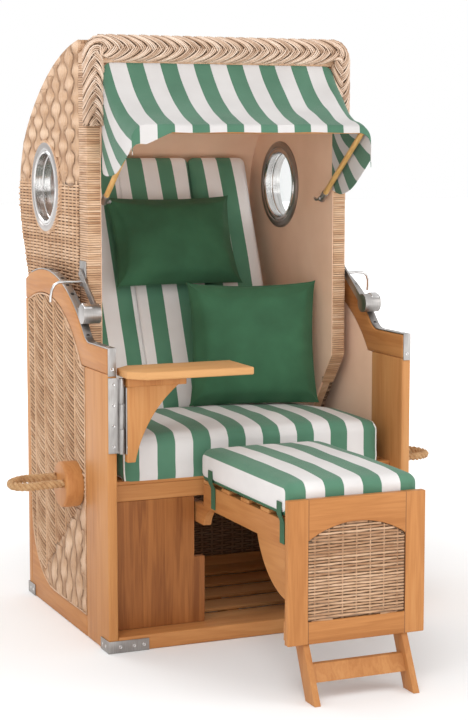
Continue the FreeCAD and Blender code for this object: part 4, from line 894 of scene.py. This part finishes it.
ARM_REACH = 0.4683
STRIP_X = 0.427
spots = []
for side in (-1, 1):
    for degrees in (75, 100, 126):
        turn = math.radians(degrees)
        out = (0, math.cos(turn), math.sin(turn))
        y, z = ARM_MIDDLE[0] + ARM_REACH * out[1], ARM_MIDDLE[1] + ARM_REACH * out[2]
        spots.append(((STRIP_X * side, y, z), out))
    spots += [((STRIP_X * side, -0.230, 0.8003), (0, 0, 1)), ((STRIP_X * side, -0.325, 0.8003), (0, 0, 1)),
              ((STRIP_X * side, -0.3583, 0.745), (0, -1, 0))]
    for away in (0.345, 0.372, 0.410):
        spots += [((away * side, -0.358, 0.016), (0, -1, 0)), ((away * side, 0.358, 0.016), (0, 1, 0))]
    for away in (0.310, 0.335):
        spots += [((0.443 * side, -away, 0.016), (side, 0, 0)), ((0.443 * side, away, 0.016), (side, 0, 0))]
set_screws("frame_screws", spots, "base")
set_screws("hinge_screws", [((-0.424, -0.358, z), (0, -1, 0)) for z in (0.545, 0.598, 0.652, 0.706)], "base")
leaf_spots = [((-0.3953, -0.3765, 0.545), (-1, 0, 0)), ((-0.3953, -0.3635, 0.695), (-1, 0, 0))]
set_screws("leaf_screws", leaf_spots, "table")
holes = []
for side in (-1, 1):
    for degrees in (88, 94, 106, 112, 118, 138):
        turn = math.radians(degrees)
        out = Vector((0, math.cos(turn), math.sin(turn)))
        holes.append(turned("lock_hole", 20, 0.0052, 0.0012, 0.0004, 1))
        stand(holes[-1], Vector((STRIP_X * side, *ARM_MIDDLE)) + out * (ARM_REACH + 0.0001), out)
dress(joined("lock_holes", holes), "base", "steel", hole_shadow)

# Each lock is a lever with a fat octagonal grip that sits on the arm strip, and a bent bail to lift it by.
# The lever swings on a stud in the hood's lock plate.
KNOB = Vector((0, -0.1527, 0.8713))
for side, name in ((-1, "left"), (1, "right")):
    lever = eased(name + "_lock_lever", 0.0012)
    dress(lever, name + "_lock", "steel", steel, name + "_lock_lever")
    grip = turned(name + "_lock_grip", 8, 0.0275, 0.026, 0.004, 3, angle_limit=math.radians(20))
    bpy.ops.object.shade_smooth_by_angle(angle=math.radians(30))
    knob = KNOB + Vector((0.4265 * side, 0, 0))
    grip.data.transform(Matrix.Translation(knob) @ Matrix.Rotation(math.pi / 2, 4, "Y"))
    dress(grip, name + "_lock", "steel", polished)
    bail = [Vector((a * side, y, z)) for a, y, z in (
        (0.398, -0.026, 0.944), (0.440, -0.026, 0.946), (0.462, -0.026, 0.944), (0.473, -0.025, 0.937),
        (0.479, -0.023, 0.924), (0.481, -0.020, 0.906), (0.481, -0.018, 0.892))]
    dress(tube(name + "_lock_bail", [bail], 0.0042, 2), name + "_lock", "steel", polished)

# The portholes are spun steel rings with a stepped flange inside and out, polished, with a pane of glass.
# The section is drawn once and spun round the port's axis.
PORT = Vector((0, 0.306, 1.192))
PORT_REACH = 0.1300
THIRD_TURN = 2 * math.pi / 3
ring_section = [
    (0.3872, 0.1060), (0.3872, 0.1275), (0.3885, 0.1295), (0.3915, 0.1295), (0.3945, 0.1255), (0.3955, 0.1180),
    (0.3955, 0.1125), (0.3925, 0.1105), (0.3925, 0.1060), (0.3955, 0.1040), (0.3955, 0.0985), (0.3930, 0.0955),
    (0.3710, 0.0953), (0.3690, 0.0935), (0.3670, 0.0953), (0.3450, 0.0955), (0.3415, 0.0985), (0.3415, 0.1050),
    (0.3440, 0.1075), (0.3440, 0.1110), (0.3415, 0.1135), (0.3420, 0.1250), (0.3455, 0.1295), (0.3490, 0.1295),
    (0.3498, 0.1275), (0.3498, 0.1060)]
material, feed, place = finish("port_steel", Metallic=1.0)
x, y, z = place.axes()
y, z = y - PORT.y, z - PORT.z
# Painted shade: the outer flange is coloured a darker grey-brown than the polished barrel.
flange = (y * y + z * z).call("SQRT").ease(0.106, 0.113)
smear = place.mottle(x * 200, y * 14, z * 14, 2.0)
bright = smear.ramp((0.3, (0.50, 0.48, 0.47)), (0.7, (0.68, 0.665, 0.655)))
feed("Base Color", flange.over(bright, (0.36, 0.33, 0.315, 1)))
feed("Roughness", smear * 0.15 + 0.12 + flange * 0.15)
for side, name in ((-1, "left"), (1, "right")):
    mesh = bpy.data.meshes.new(name + "_port_ring")
    mesh.from_pydata([(a * side, PORT.y + r, PORT.z) for a, r in ring_section],
                     [(i, (i + 1) % len(ring_section)) for i in range(len(ring_section))], [])
    ring = bpy.data.objects.new(name + "_port_ring", mesh)
    bpy.context.scene.collection.objects.link(ring)
    with editing(ring):
        bpy.ops.mesh.spin(steps=72, angle=2 * math.pi, center=PORT, axis=(1, 0, 0))
        bpy.ops.mesh.select_all(action="SELECT")
        bpy.ops.mesh.remove_doubles(threshold=0.00005)
        bpy.ops.mesh.normals_make_consistent(inside=False)
    bpy.ops.object.shade_smooth_by_angle(angle=math.radians(32))
    dress(ring, "hood", "chrome", material)
    rim = []
    for k in range(3):
        line = []
        for step in range(240):
            turn = 2 * math.pi * step / 240
            roll = turn * 22 + k * THIRD_TURN
            reach = PORT_REACH + 0.0034 * math.cos(roll)
            line.append(((0.3895 + 0.0034 * math.sin(roll)) * side, PORT.y + reach * math.cos(turn),
                         PORT.z + reach * math.sin(turn)))
        rim.append(line)
    dress(tube(name + "_port_edging", rim, 0.0028, 1, True), "hood", "wicker", bead_cane)
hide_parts("porthole_frames")
material, feed, place = finish("port_pane", Transmission_Weight=1.0, IOR=1.15)
x, y, z = place.axes()
feed("Roughness", place.mottle(x * 12, y * 12, z * 12) * 0.03)
tint = place.mottle(x * 4, y * 4, z * 4)
feed("Base Color", tint.ramp((0.3, (0.93, 0.96, 0.95)), (0.7, (0.97, 0.98, 0.98))))
coat(frame["nodes"]["porthole_glass"], material)

# The rope handles: three-strand sisal, each loop coming out of its wooden boss and going back in.
# The strands are wound round the loop's own line, which is the route of the solid.
ROPE_ROUTE = ((0, 0.96, 0.9), (0.35, 0.96, 0.9), (0.71, 0.94, 0.88), (0.985, 0.47, 0.65),
              (1, -0.47, 0.47), (0.72, -0.94, 0.37), (0.36, -0.96, 0.47), (0, -0.96, 0.47))
LOOP_X, LOOP_Y, LOOP_Z = 0.4903, -0.105, 0.407
LOOP_OUT, LOOP_HALF, LOOP_UP = 0.130, 0.036, 0.017
ROPE_LAY = 0.040


def rope_line(side):
    """The loop's line: a smooth curve through the route's points, in steps of about 3 mm."""
    corners = [Vector((side * (LOOP_X + out * LOOP_OUT), along * LOOP_HALF + LOOP_Y, LOOP_Z + up * LOOP_UP))
               for out, along, up in ROPE_ROUTE]
    line = []
    for i in range(len(corners) - 1):
        before, here, there, after = (corners[min(max(i + k, 0), len(corners) - 1)] for k in (-1, 0, 1, 2))
        for k in range(14):
            t = k / 14
            line.append((here * 2 + (there - before) * t + (before * 2 - here * 5 + there * 4 - after) * t * t
                         + (here * 3 - before - there * 3 + after) * t ** 3) / 2)
    line.append(corners[-1])
    even = [line[0]]
    for spot in line[1:]:
        start = even[-1]
        parts = max(round((spot - start).length / 0.003), 1)
        even += [start.lerp(spot, k / parts) for k in range(1, parts + 1)]
    return even


material, feed, place = finish("sisal_rope")
x, y, z = place.axes()
fibre = place.mottle(x * 260, y * 900, z * 900, 3.0)
patch = place.mottle(x * 40, y * 40, z * 40)
tone = fibre * 0.6 + patch * 0.45
feed("Base Color", tone.ramp((0.3, (0.24, 0.115, 0.045)), (0.5, (0.46, 0.26, 0.115)),
                             (0.72, (0.63, 0.41, 0.215))))
feed("Roughness", 0.7 + fibre * 0.2)
feed("Normal", fibre.relief(0.0012, 0.7))
for side, name in ((-1, "left"), (1, "right")):
    line = rope_line(side)
    run = [0.0]
    for before, after in zip(line, line[1:]):
        run.append(run[-1] + (after - before).length)
    frames = []
    up = Vector((0, 0, 1))
    for i in range(len(line)):
        ahead = (line[min(i + 1, len(line) - 1)] - line[max(i - 1, 0)]).normalized()
        up = (up - ahead * up.dot(ahead)).normalized()
        frames.append((up.copy(), ahead.cross(up)))
    lay = []
    for k in range(3):
        turns = [length / ROPE_LAY * 2 * math.pi + k * THIRD_TURN for length in run]
        lay.append([spot + (over * math.cos(turn) + aside * math.sin(turn)) * 0.0060
                    for spot, (over, aside), turn in zip(line, frames, turns)])
    rope = tube(name + "_rope", lay, 0.0058, 2)
    dress(rope, "base", "rope", material, name + "_rope_handle")
    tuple(line[0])

# The seat cushion: a box pad in green and white woven stripes that run back to front and down its face.
# White piping is sewn round both end panels. It lies on the slats under the sitter and gives a little.


def pad(name, cuts, shape):
    """A finely divided block whose every point is then placed by a rule over its three shares, each -1 to 1."""
    bpy.ops.object.select_all(action="DESELECT")
    bpy.ops.mesh.primitive_cube_add(size=2)
    piece = bpy.context.object
    piece.name = name
    with editing(piece):
        bpy.ops.mesh.subdivide(number_cuts=cuts)
    for vertex in piece.data.vertices:
        shares = [c * (1.5 - 0.5 * c * c) for c in vertex.co]
        vertex.co = shape(*shares)
    with editing(piece):
        bpy.ops.mesh.normals_make_consistent(inside=False)
    bpy.ops.object.shade_smooth()
    return piece


def soft_box(shares, half, radius):
    """A place on a block with rounded edges, from its three shares."""
    spot = Vector(s * h for s, h in zip(shares, half))
    inner = Vector(max(-(h - radius), min(h - radius, c)) for c, h in zip(spot, half))
    away = spot - inner
    return inner + away.normalized() * radius if away.length > 1e-6 else spot


def round_the_edge(count):
    """Pairs of shares round the edge of a square pad, at even angles."""
    pairs = []
    for k in range(count):
        turn = 2 * math.pi * k / count
        reach = max(abs(math.cos(turn)), abs(math.sin(turn)))
        pairs.append((math.cos(turn) / reach, math.sin(turn) / reach))
    return pairs


STRIPE = 0.0508
STRIPE_GREEN = ((0.3, (0.052, 0.160, 0.092)), (0.7, (0.076, 0.206, 0.126)))
STRIPE_WHITE = ((0.3, (0.63, 0.60, 0.585)), (0.7, (0.71, 0.685, 0.67)))


def striped(name, pitch, shift, axis, plain_from=9.0, painted_light_scale=1.0):
    """Green and white canvas, the stripes counted across the piece or its own flat layout.
    It is plain white from plain_from outwards. The last argument scales both colours: above 1 as painted light,
    below 1 as painted shade."""
    material, feed, place = finish(name, Sheen_Weight=0.12, Sheen_Roughness=0.6)
    x, y, z = place.axes()
    if axis == "flat":
        across, along, flat = place.node("UVMap", {"uv_map": "cloth"}, {}, "UV").axes()
    else:
        across, along = x, y + z
    band = (across + shift) / pitch
    which = band.call("FLOOR").call("MODULO", 2.0).call("ABSOLUTE")
    which = which.call("MAXIMUM", x.call("ABSOLUTE").ease(plain_from, plain_from + 0.0006))
    thread = (across * 3600).call("SINE") * (along * 3600).call("SINE")
    patch = place.mottle(x * 7, y * 7, z * 7)
    green, white = (patch.ramp(*[(at, [part * painted_light_scale for part in colour]) for at, colour in stops])
                    for stops in (STRIPE_GREEN, STRIPE_WHITE))
    feed("Base Color", which.over(green, white))
    feed("Roughness", 0.82 + thread * 0.05)
    feed("Normal", (thread * 0.35 + place.mottle(x * 22, y * 22, z * 22) * 4).relief(0.0006, 0.35))
    return material


seat_half = Vector((0.380, 0.2155, 0.056))


def seat_shape(a, b, c):
    """A place on the seat: crowned on top, narrowed between the hood's sides, its front lip hung down."""
    spot = soft_box((a, b, c), seat_half, 0.026)
    y = spot.y - 0.0755
    narrow = held((y + 0.06) / 0.08)
    x = spot.x * (1 - 0.100 * narrow)
    rise = max(c, 0.0) * (1 - a ** 4) * (1 - b ** 4) * 0.020
    lumps = 0.003 * max(c, 0.0) * noise.noise((x * 9, y * 9, 0.0)) * (1 - a ** 6)
    lip = max(-b - 0.9, 0.0) / 0.1 * max(-c - 0.3, 0.0) / 0.7
    return Vector((x, y - 0.006 * lip, 0.4955 + spot.z + rise + lumps - 0.016 * lip))


seat = pad("seat_cushion_pad", 44, seat_shape)
dress(seat, "base", "striped_cloth", striped("striped_canvas", STRIPE, STRIPE * 15.5, "x"), "seat_cushion")
material, feed, place = finish("white_piping", Roughness=0.8)
x, y, z = place.axes()
tone = place.mottle(x * 60, y * 60, z * 60)
feed("Base Color", tone.ramp((0.3, (0.70, 0.67, 0.63)), (0.7, (0.84, 0.82, 0.79))))
lines = [[seat_shape(end * 0.99, b, c) for b, c in round_the_edge(96)] for end in (-1, 1)]
dress(tube("seat_piping", lines, 0.0027, 1, True), "base", "striped_cloth", material)

# The three back cushions stand on the seat and lie along the hood's lining, one stripe set across each.
# They are thick at the lumbar and thin at the top, and their long edges are softly rounded.
LEAN = math.radians(23)
FOOT = Vector((0, 0.160, 0.544))
up_back = Vector((0, math.sin(LEAN), math.cos(LEAN)))
out_back = Vector((0, -math.cos(LEAN), math.sin(LEAN)))
BACK_LONG = 0.794
BACK_STRIPE = 0.0478
DEPTHS = ((0.0, 0.098), (0.05, 0.107), (0.35, 0.116), (0.70, 0.125), (0.80, 0.116), (0.90, 0.085), (1.0, 0.046))


def back_shape(left, right, tight):
    """A rule for one back cushion between two sides. Tight is -1 or 1 where its left or right edge meets
    a neighbour closely, and 0 where neither does."""
    middle, half = (left + right) / 2, (right - left) / 2

    def shape(a, b, c):
        snug = held(a * tight) ** 2
        spot = soft_box((a, b, c), (half, BACK_LONG / 2, 0.05), 0.022 - 0.015 * snug)
        run = (spot.y + BACK_LONG / 2) / BACK_LONG
        deep = DEPTHS[-1][1]
        for (s, d), (t, e) in zip(DEPTHS, DEPTHS[1:]):
            if s <= run <= t:
                deep = d + (e - d) * (run - s) / (t - s)
        swell = 0.010 * max(c, 0.0) * (1 - a ** 4) * (1 - b ** 6)
        dimple = 0.004 * max(c, 0.0) * noise.noise((spot.x * 7 + middle * 9, spot.y * 7, 2.0))
        rise = (spot.z - 0.05) / 0.10 * deep + swell * (1 - 0.5 * snug) + dimple
        return FOOT + Vector((middle + spot.x, 0, 0)) + up_back * (run * BACK_LONG) + out_back * rise

    return shape


# The back cushions' canvas is painted lighter, as painted light against the shade inside the hood.
back_canvas = striped("back_canvas", BACK_STRIPE, BACK_STRIPE * 20 - 0.104, "x", painted_light_scale=1.24)
right_canvas = striped("right_back_canvas", BACK_STRIPE, BACK_STRIPE * 20 - 0.302, "x", painted_light_scale=1.24)
for name, left, right, tight, canvas in (("left_back_cushion", -0.302, -0.1178, 1, back_canvas),
                                         ("middle_back_cushion", -0.1172, 0.113, -1, back_canvas),
                                         ("right_back_cushion", 0.1155, 0.304, 0, right_canvas)):
    cushion = pad(name + "_pad", 36, back_shape(left, right, tight))
    dress(cushion, "hood", "striped_cloth", canvas, name)

# The two loose pillows are plain dark green canvas with plump middles, drawn-in edges and pointed corners.
# Each is two flat cloths sewn round their rim and blown up as a cloth, then turned into its place.
material, feed, place = finish("green_canvas", Sheen_Weight=0.04, Sheen_Roughness=0.5)
x, y, z = place.axes()
thread = (x * 3200).call("SINE") * (z * 3200).call("SINE")
patch = place.mottle(x * 9, y * 9, z * 9)
tone = patch * 0.8 + thread * 0.06 + 0.1
feed("Base Color", tone.ramp((0.25, (0.019, 0.074, 0.031)), (0.55, (0.030, 0.114, 0.051)),
                             (0.8, (0.046, 0.156, 0.073))))
feed("Roughness", 0.85 + thread * 0.05)
feed("Normal", (thread * 0.3 + place.mottle(x * 35, y * 35, z * 35) * 3).relief(0.0006, 0.4))
green_canvas = material


BLOWN_OUT = 0.009


def pillow(name, wide, tall, deep, turn, middle, seed):
    """A pillow turned into its place, and the line of its seam."""
    def flat_bag(a, b, c):
        plump = (1 - a * a) * (1 - b * b)
        narrow = 1 - 0.065 * (1 - b * b)
        short = 1 - (0.065 if b > 0 else 0.02) * (1 - a * a)
        start = 0.82
        fold = 0.004 * noise.noise((a * 2.2 + seed, b * 2.2, c)) * plump
        return Vector((a * wide / 2 * narrow, c * (deep / 2 * start * plump ** 0.62 + 0.003) + fold,
                       b * tall / 2 * short))

    bag = pad(name, 34, flat_bag)
    rest = [v.co.copy() for v in bag.data.vertices]
    only(bag)
    cloth = bag.modifiers.new("blown", "CLOTH")
    cloth.settings.use_pressure = True
    cloth.settings.uniform_pressure_force = 5
    cloth.settings.tension_stiffness = 25
    cloth.settings.compression_stiffness = 25
    cloth.settings.bending_stiffness = 0.3
    cloth.settings.effector_weights.gravity = 0
    for step in range(1, 21):
        bpy.context.scene.frame_set(step)
    bpy.ops.object.modifier_apply(modifier="blown")
    bpy.context.scene.frame_set(1)
    for vertex, old in zip(bag.data.vertices, rest):
        moved = vertex.co - old
        if moved.length > BLOWN_OUT:
            vertex.co = old + moved.normalized() * BLOWN_OUT
        vertex.co = [max(-size / 2, min(size / 2, c)) for size, c in zip((wide, deep, tall), vertex.co)]
    apply(bag, "fine", "SUBSURF", levels=1, render_levels=1)
    place = Matrix.Translation(middle) @ turn
    rim = []
    for a, b in round_the_edge(120):
        best = min(bag.data.vertices, key=lambda v: (v.co.x - a * wide / 2) ** 2 + (v.co.z - b * tall / 2) ** 2
                   + v.co.y ** 2 * 4)
        rim.append(place @ Vector((best.co.x * 1.004, 0, best.co.z * 1.004)))
    bag.data.transform(place)
    return bag, rim


head, rim = pillow("head_pillow_bag", 0.405, 0.290, 0.100, Matrix.Rotation(-LEAN, 4, "X"),
                   FOOT + up_back * 0.503 + out_back * 0.0605, 1.0)
dress(head, "hood", "green_cloth", green_canvas, "head_pillow")
dress(tube("head_pillow_seam", [rim], 0.0022, 1, True), "hood", "green_cloth", green_canvas)
loose, rim = pillow("seat_pillow_bag", 0.390, 0.365, 0.125,
                    Matrix.Rotation(math.radians(-12), 4, "Z") @ Matrix.Rotation(math.radians(-8), 4, "X"),
                    Vector((0.144, 0.045, 0.745)), 7.0)
dress(loose, "base", "green_cloth", green_canvas, "seat_pillow")
dress(tube("seat_pillow_seam", [rim], 0.0022, 1, True), "base", "green_cloth", green_canvas)

# The awning's two wooden dowels turn on wing-nut clamps inside the hood's posts and carry the front bar.
# Dowels and bar are turned teak, the clamps bent steel strip round each dowel's foot.
dowels = []
for side, name in ((-1, "left"), (1, "right")):
    low, high = Vector((0.329 * side, -0.020, 1.157)), Vector((0.329 * side, -0.272, 1.348))
    along = (high - low).normalized()
    dowels.append(turned("awning_dowel", 24, 0.0075, (high - low).length, 0.003, 3))
    bpy.ops.object.shade_smooth_by_angle(angle=math.radians(40))
    stand(dowels[-1], (low + high) / 2, along, "X")
    clamp = turned(name + "_arm_clamp", 20, 0.0095, 0.034, 0.0015, 2)
    bpy.ops.object.shade_smooth_by_angle(angle=math.radians(40))
    stand(clamp, low + along * 0.016, along, "X")
    dress(clamp, "awning", "steel", steel)
    stud = [low + Vector((-inward * side, 0, 0)) for inward in (0.006, 0.016)]
    wings = [low + Vector((-inward * side, y, z)) for inward, y, z in (
        (0.013, -0.016, 0.004), (0.016, -0.004, 0), (0.016, 0.004, 0), (0.013, 0.016, 0.004))]
    dress(tube(name + "_arm_nut", [stud, wings], 0.0042, 1), "awning", "steel", steel)
dowel_pair = joined("awning_dowels", dowels)
material, feed, place = finish("pale_dowel", Coat_Weight=0.1, Coat_Roughness=0.3)
x, y, z = place.axes()
grain = place.mottle(x * 300, y * 20, z * 60, 2.0)
feed("Base Color", grain.ramp((0.3, (0.56, 0.30, 0.09)), (0.7, (0.72, 0.44, 0.155))))
feed("Roughness", grain * 0.2 + 0.35)
dress(dowel_pair, "awning", "teak", material, "awning_arms")
dress(eased("awning_bar", 0.002), "awning", "teak", grain_of["x"], "awning_bar")

# The awning cloth: one striped canvas hung from the hood's top rail to the front bar, sagging between them.
# Its sides turn down as cheeks that shorten towards the front, and its front edge is a narrow hem over the bar.
EAVE = Vector((-0.0575, 1.5312))
CREASE = Vector((-0.290, 1.3655))
HALF = 0.345
CLOTH_RUN = 0.285
HEM = 0.020
AWNING_STRIPE = 0.0487


def turn_down(share):
    """The radius at which the cloth turns down into its cheeks."""
    return 0.028 + 0.011 * share


def on_canopy(share, across):
    """A place on the cloth: share 0 at the eave to 1 at the bar, across in metres from the middle."""
    side = -1 if across < 0 else 1
    ease = turn_down(share)
    flat = HALF - ease
    sag = 0.034 * math.sin(math.pi * min(share, 1.0) ** 0.85)
    spot = EAVE.lerp(CREASE, share)
    down = Vector((-0.572, -0.820)) * sag * 0.35 + Vector((0, -1)) * sag * 0.65
    y, z = spot.x + down.x * -0.4, spot.y + down.y
    beyond = abs(across) - flat
    if beyond <= 0:
        return Vector((across, y, z))
    turn = min(beyond / ease, math.pi / 2)
    x = flat + ease * math.sin(turn)
    z -= ease * (1 - math.cos(turn)) + max(beyond - ease * math.pi / 2, 0)
    return Vector((x * side, y, z))


def cheek(share, side):
    """How far a cheek hangs at a share of the way to the bar."""
    return (0.3085 - 0.2285 * share) if side < 0 else (0.360 - 0.245 * share)


ROWS, SIDE, FLAT = 40, 26, 84
rows, flats = [], []
for i in range(ROWS + 4):
    share = min(i / ROWS, 1.0)
    drop = max(i - ROWS, 0) / 3
    flat = HALF - turn_down(share)
    left = [-(flat + cheek(share, -1) * k / SIDE) for k in range(SIDE, 0, -1)]
    middle = [flat * (2 * k / FLAT - 1) for k in range(FLAT + 1)]
    right = [flat + cheek(share, 1) * k / SIDE for k in range(1, SIDE + 1)]
    row = []
    for across in left + middle + right:
        spot = on_canopy(share, across)
        crumple = max(0.0, across - 0.05) / 0.3 * math.sin(math.pi * share)
        spot.z += (0.006 * crumple * math.sin(across * 34 + share * 9)
                   + 0.0025 * noise.noise((across * 9, share * 5, 1.0)))
        if drop:
            corner = held((-across - 0.235) / 0.07) * (1 - held((-across - 0.31) / 0.08))
            spot += Vector((0, -0.003 * math.sin(math.pi * drop * 0.5), -(HEM + 0.030 * corner) * drop))
        row.append(spot)
        flats.append((across, share * CLOTH_RUN + drop * HEM))
    rows.append(row)
canopy = sheet_through("awning_cloth", rows)
layer = canopy.data.uv_layers.new(name="cloth")
for loop in canopy.data.loops:
    layer.data[loop.index].uv = flats[loop.vertex_index]
with editing(canopy):
    bpy.ops.mesh.remove_doubles(threshold=0.00002)
    bpy.ops.mesh.normals_make_consistent(inside=False)
apply(canopy, "thick", "SOLIDIFY", thickness=0.0016, offset=-1)
bpy.ops.object.shade_smooth_by_angle(angle=math.radians(60))
# The awning's canvas is painted darker, as painted shade.
coat(canopy, striped("awning_canvas", AWNING_STRIPE, 0.3235 + AWNING_STRIPE * 9, "flat", painted_light_scale=0.85))
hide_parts("awning_canopy")
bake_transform(canopy)

# The foot stool's cushion: the same striped canvas, with plain white end panels and green piping under them.
# Two green elastic straps a side run down from its edge and round the stool's rails to hold it.
stool_half = Vector((0.178, 0.270, 0.041))


def stool_shape(a, b, c):
    """A place on the stool's cushion, lightly crowned on top."""
    spot = soft_box((a, b, c), stool_half, 0.024)
    rise = max(c, 0.0) * (1 - a ** 4) * (1 - b ** 4) * 0.010
    lumps = 0.003 * max(c, 0.0) * noise.noise((spot.x * 9, spot.y * 9, 4.0)) * (1 - a ** 6)
    return Vector((spot.x, spot.y - 0.607, 0.4795 + spot.z + rise + lumps))


stool_pad = pad("stool_cushion_pad", 40, stool_shape)
stool_canvas = striped("stool_canvas", STRIPE, STRIPE * 7.5, "x", 0.1748)
dress(stool_pad, "stool", "striped_cloth", stool_canvas, "stool_cushion")
lines = [[stool_shape(end * 0.985, b / 40, -0.93) for b in range(-39, 40)] for end in (-1, 1)]
dress(tube("stool_piping", lines, 0.0034, 1), "stool", "green_cloth", green_canvas)
for side, name in ((-1, "left"), (1, "right")):
    straps = []
    for front in (-0.842, -0.415):
        bpy.ops.object.select_all(action="DESELECT")
        bpy.ops.mesh.primitive_plane_add(size=1)
        strap = bpy.context.object
        with editing(strap):
            bpy.ops.mesh.subdivide(number_cuts=11)
        for vertex in strap.data.vertices:
            z = 0.372 + (vertex.co.x + 0.5) * 0.103
            fall = held((0.446 - z) / 0.022)
            bulge = 0.1806 - 0.0085 * fall * fall * (3 - 2 * fall)
            vertex.co = (bulge * side, front + vertex.co.y * 0.025, z)
        apply(strap, "thick", "SOLIDIFY", thickness=0.002, offset=0)
        with editing(strap):
            bpy.ops.mesh.normals_make_consistent(inside=False)
        straps.append(strap)
    dress(joined(name + "_stool_straps", straps), "stool", "green_cloth", green_canvas)

# The studio: a flat pale floor whose painted glow whitens it with distance, and a white surround.
# Four soft lamps light it, the key from the left front. The camera stands where the photograph was taken from.
bpy.ops.object.select_all(action="DESELECT")
bpy.ops.mesh.primitive_plane_add(size=60, location=(0, 0, -0.0005))
floor = bpy.context.object
floor.name = "studio_floor"
material, feed, place = finish("glowing_pale_floor", Roughness=0.9, Emission_Strength=1.0, Specular_IOR_Level=0.2)
x, y, z = place.axes()
pale = place.mottle(x * 0.5, y * 0.5, z)
feed("Base Color", pale.ramp((0.3, (0.90, 0.90, 0.90)), (0.7, (0.92, 0.92, 0.92))))
# Painted light: the floor glows, from none near the chair to bright far away.
away = (x * x + y * y).call("SQRT").ease(0.7, 4.5)
feed("Emission Color", away.ramp((0.0, (0, 0, 0)), (0.1, (0.12, 0.12, 0.12)), (1.0, (0.75, 0.75, 0.75))))
floor.data.materials.append(material)
world = bpy.data.worlds.new("studio_world")
bpy.context.scene.world = world
world.use_nodes = True
ground = world.node_tree.nodes["Background"]
ground.inputs["Strength"].default_value = 1.0
paths = world.node_tree.nodes.new("ShaderNodeLightPath").outputs
seen = Socket(world.node_tree, paths["Is Camera Ray"])
seen = seen.call("MAXIMUM", Socket(world.node_tree, paths["Is Transmission Ray"]))
seen = seen.call("MAXIMUM", Socket(world.node_tree, paths["Is Glossy Ray"]))
world.node_tree.links.new(seen.over((0.90, 0.90, 0.90, 1), (1, 1, 1, 1)).out, ground.inputs["Color"])
lamps = []
for name, spot, aim, wide, power in (("key", (-2.4, -3.4, 5.0), (0, 0, 0.8), 2.6, 76),
                                     ("front", (-1.5, -4.5, 1.6), (0.1, 0.2, 0.9), 1.4, 28),
                                     ("fill", (4.2, -3.6, 2.6), (0, 0, 0.8), 3.0, 51),
                                     ("back", (-2.0, 3.6, 4.0), (0, 0, 1.0), 2.4, 60)):
    lamp = bpy.data.lights.new(name, "AREA")
    lamp.size = wide
    lamp.energy = power
    lit = bpy.data.objects.new(name, lamp)
    lit.location = spot
    lit.rotation_euler = (Vector(aim) - Vector(spot)).to_track_quat("-Z", "Y").to_euler()
    bpy.context.scene.collection.objects.link(lit)
    lamps.append(lit)
view = bpy.data.cameras.new("photo_view")
view.lens = 88.87
view.sensor_width = 36
eye = bpy.data.objects.new("photo_view", view)
eye.location = (-1.917386, -4.607304, 1.327982)
eye.rotation_euler = (math.radians(90 - 7.08249), 0, math.radians(-23.28397))
bpy.context.scene.collection.objects.link(eye)
bpy.context.scene.camera = eye
bpy.context.scene.view_settings.view_transform = "Standard"
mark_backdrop(floor, eye, *lamps)
low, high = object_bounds()
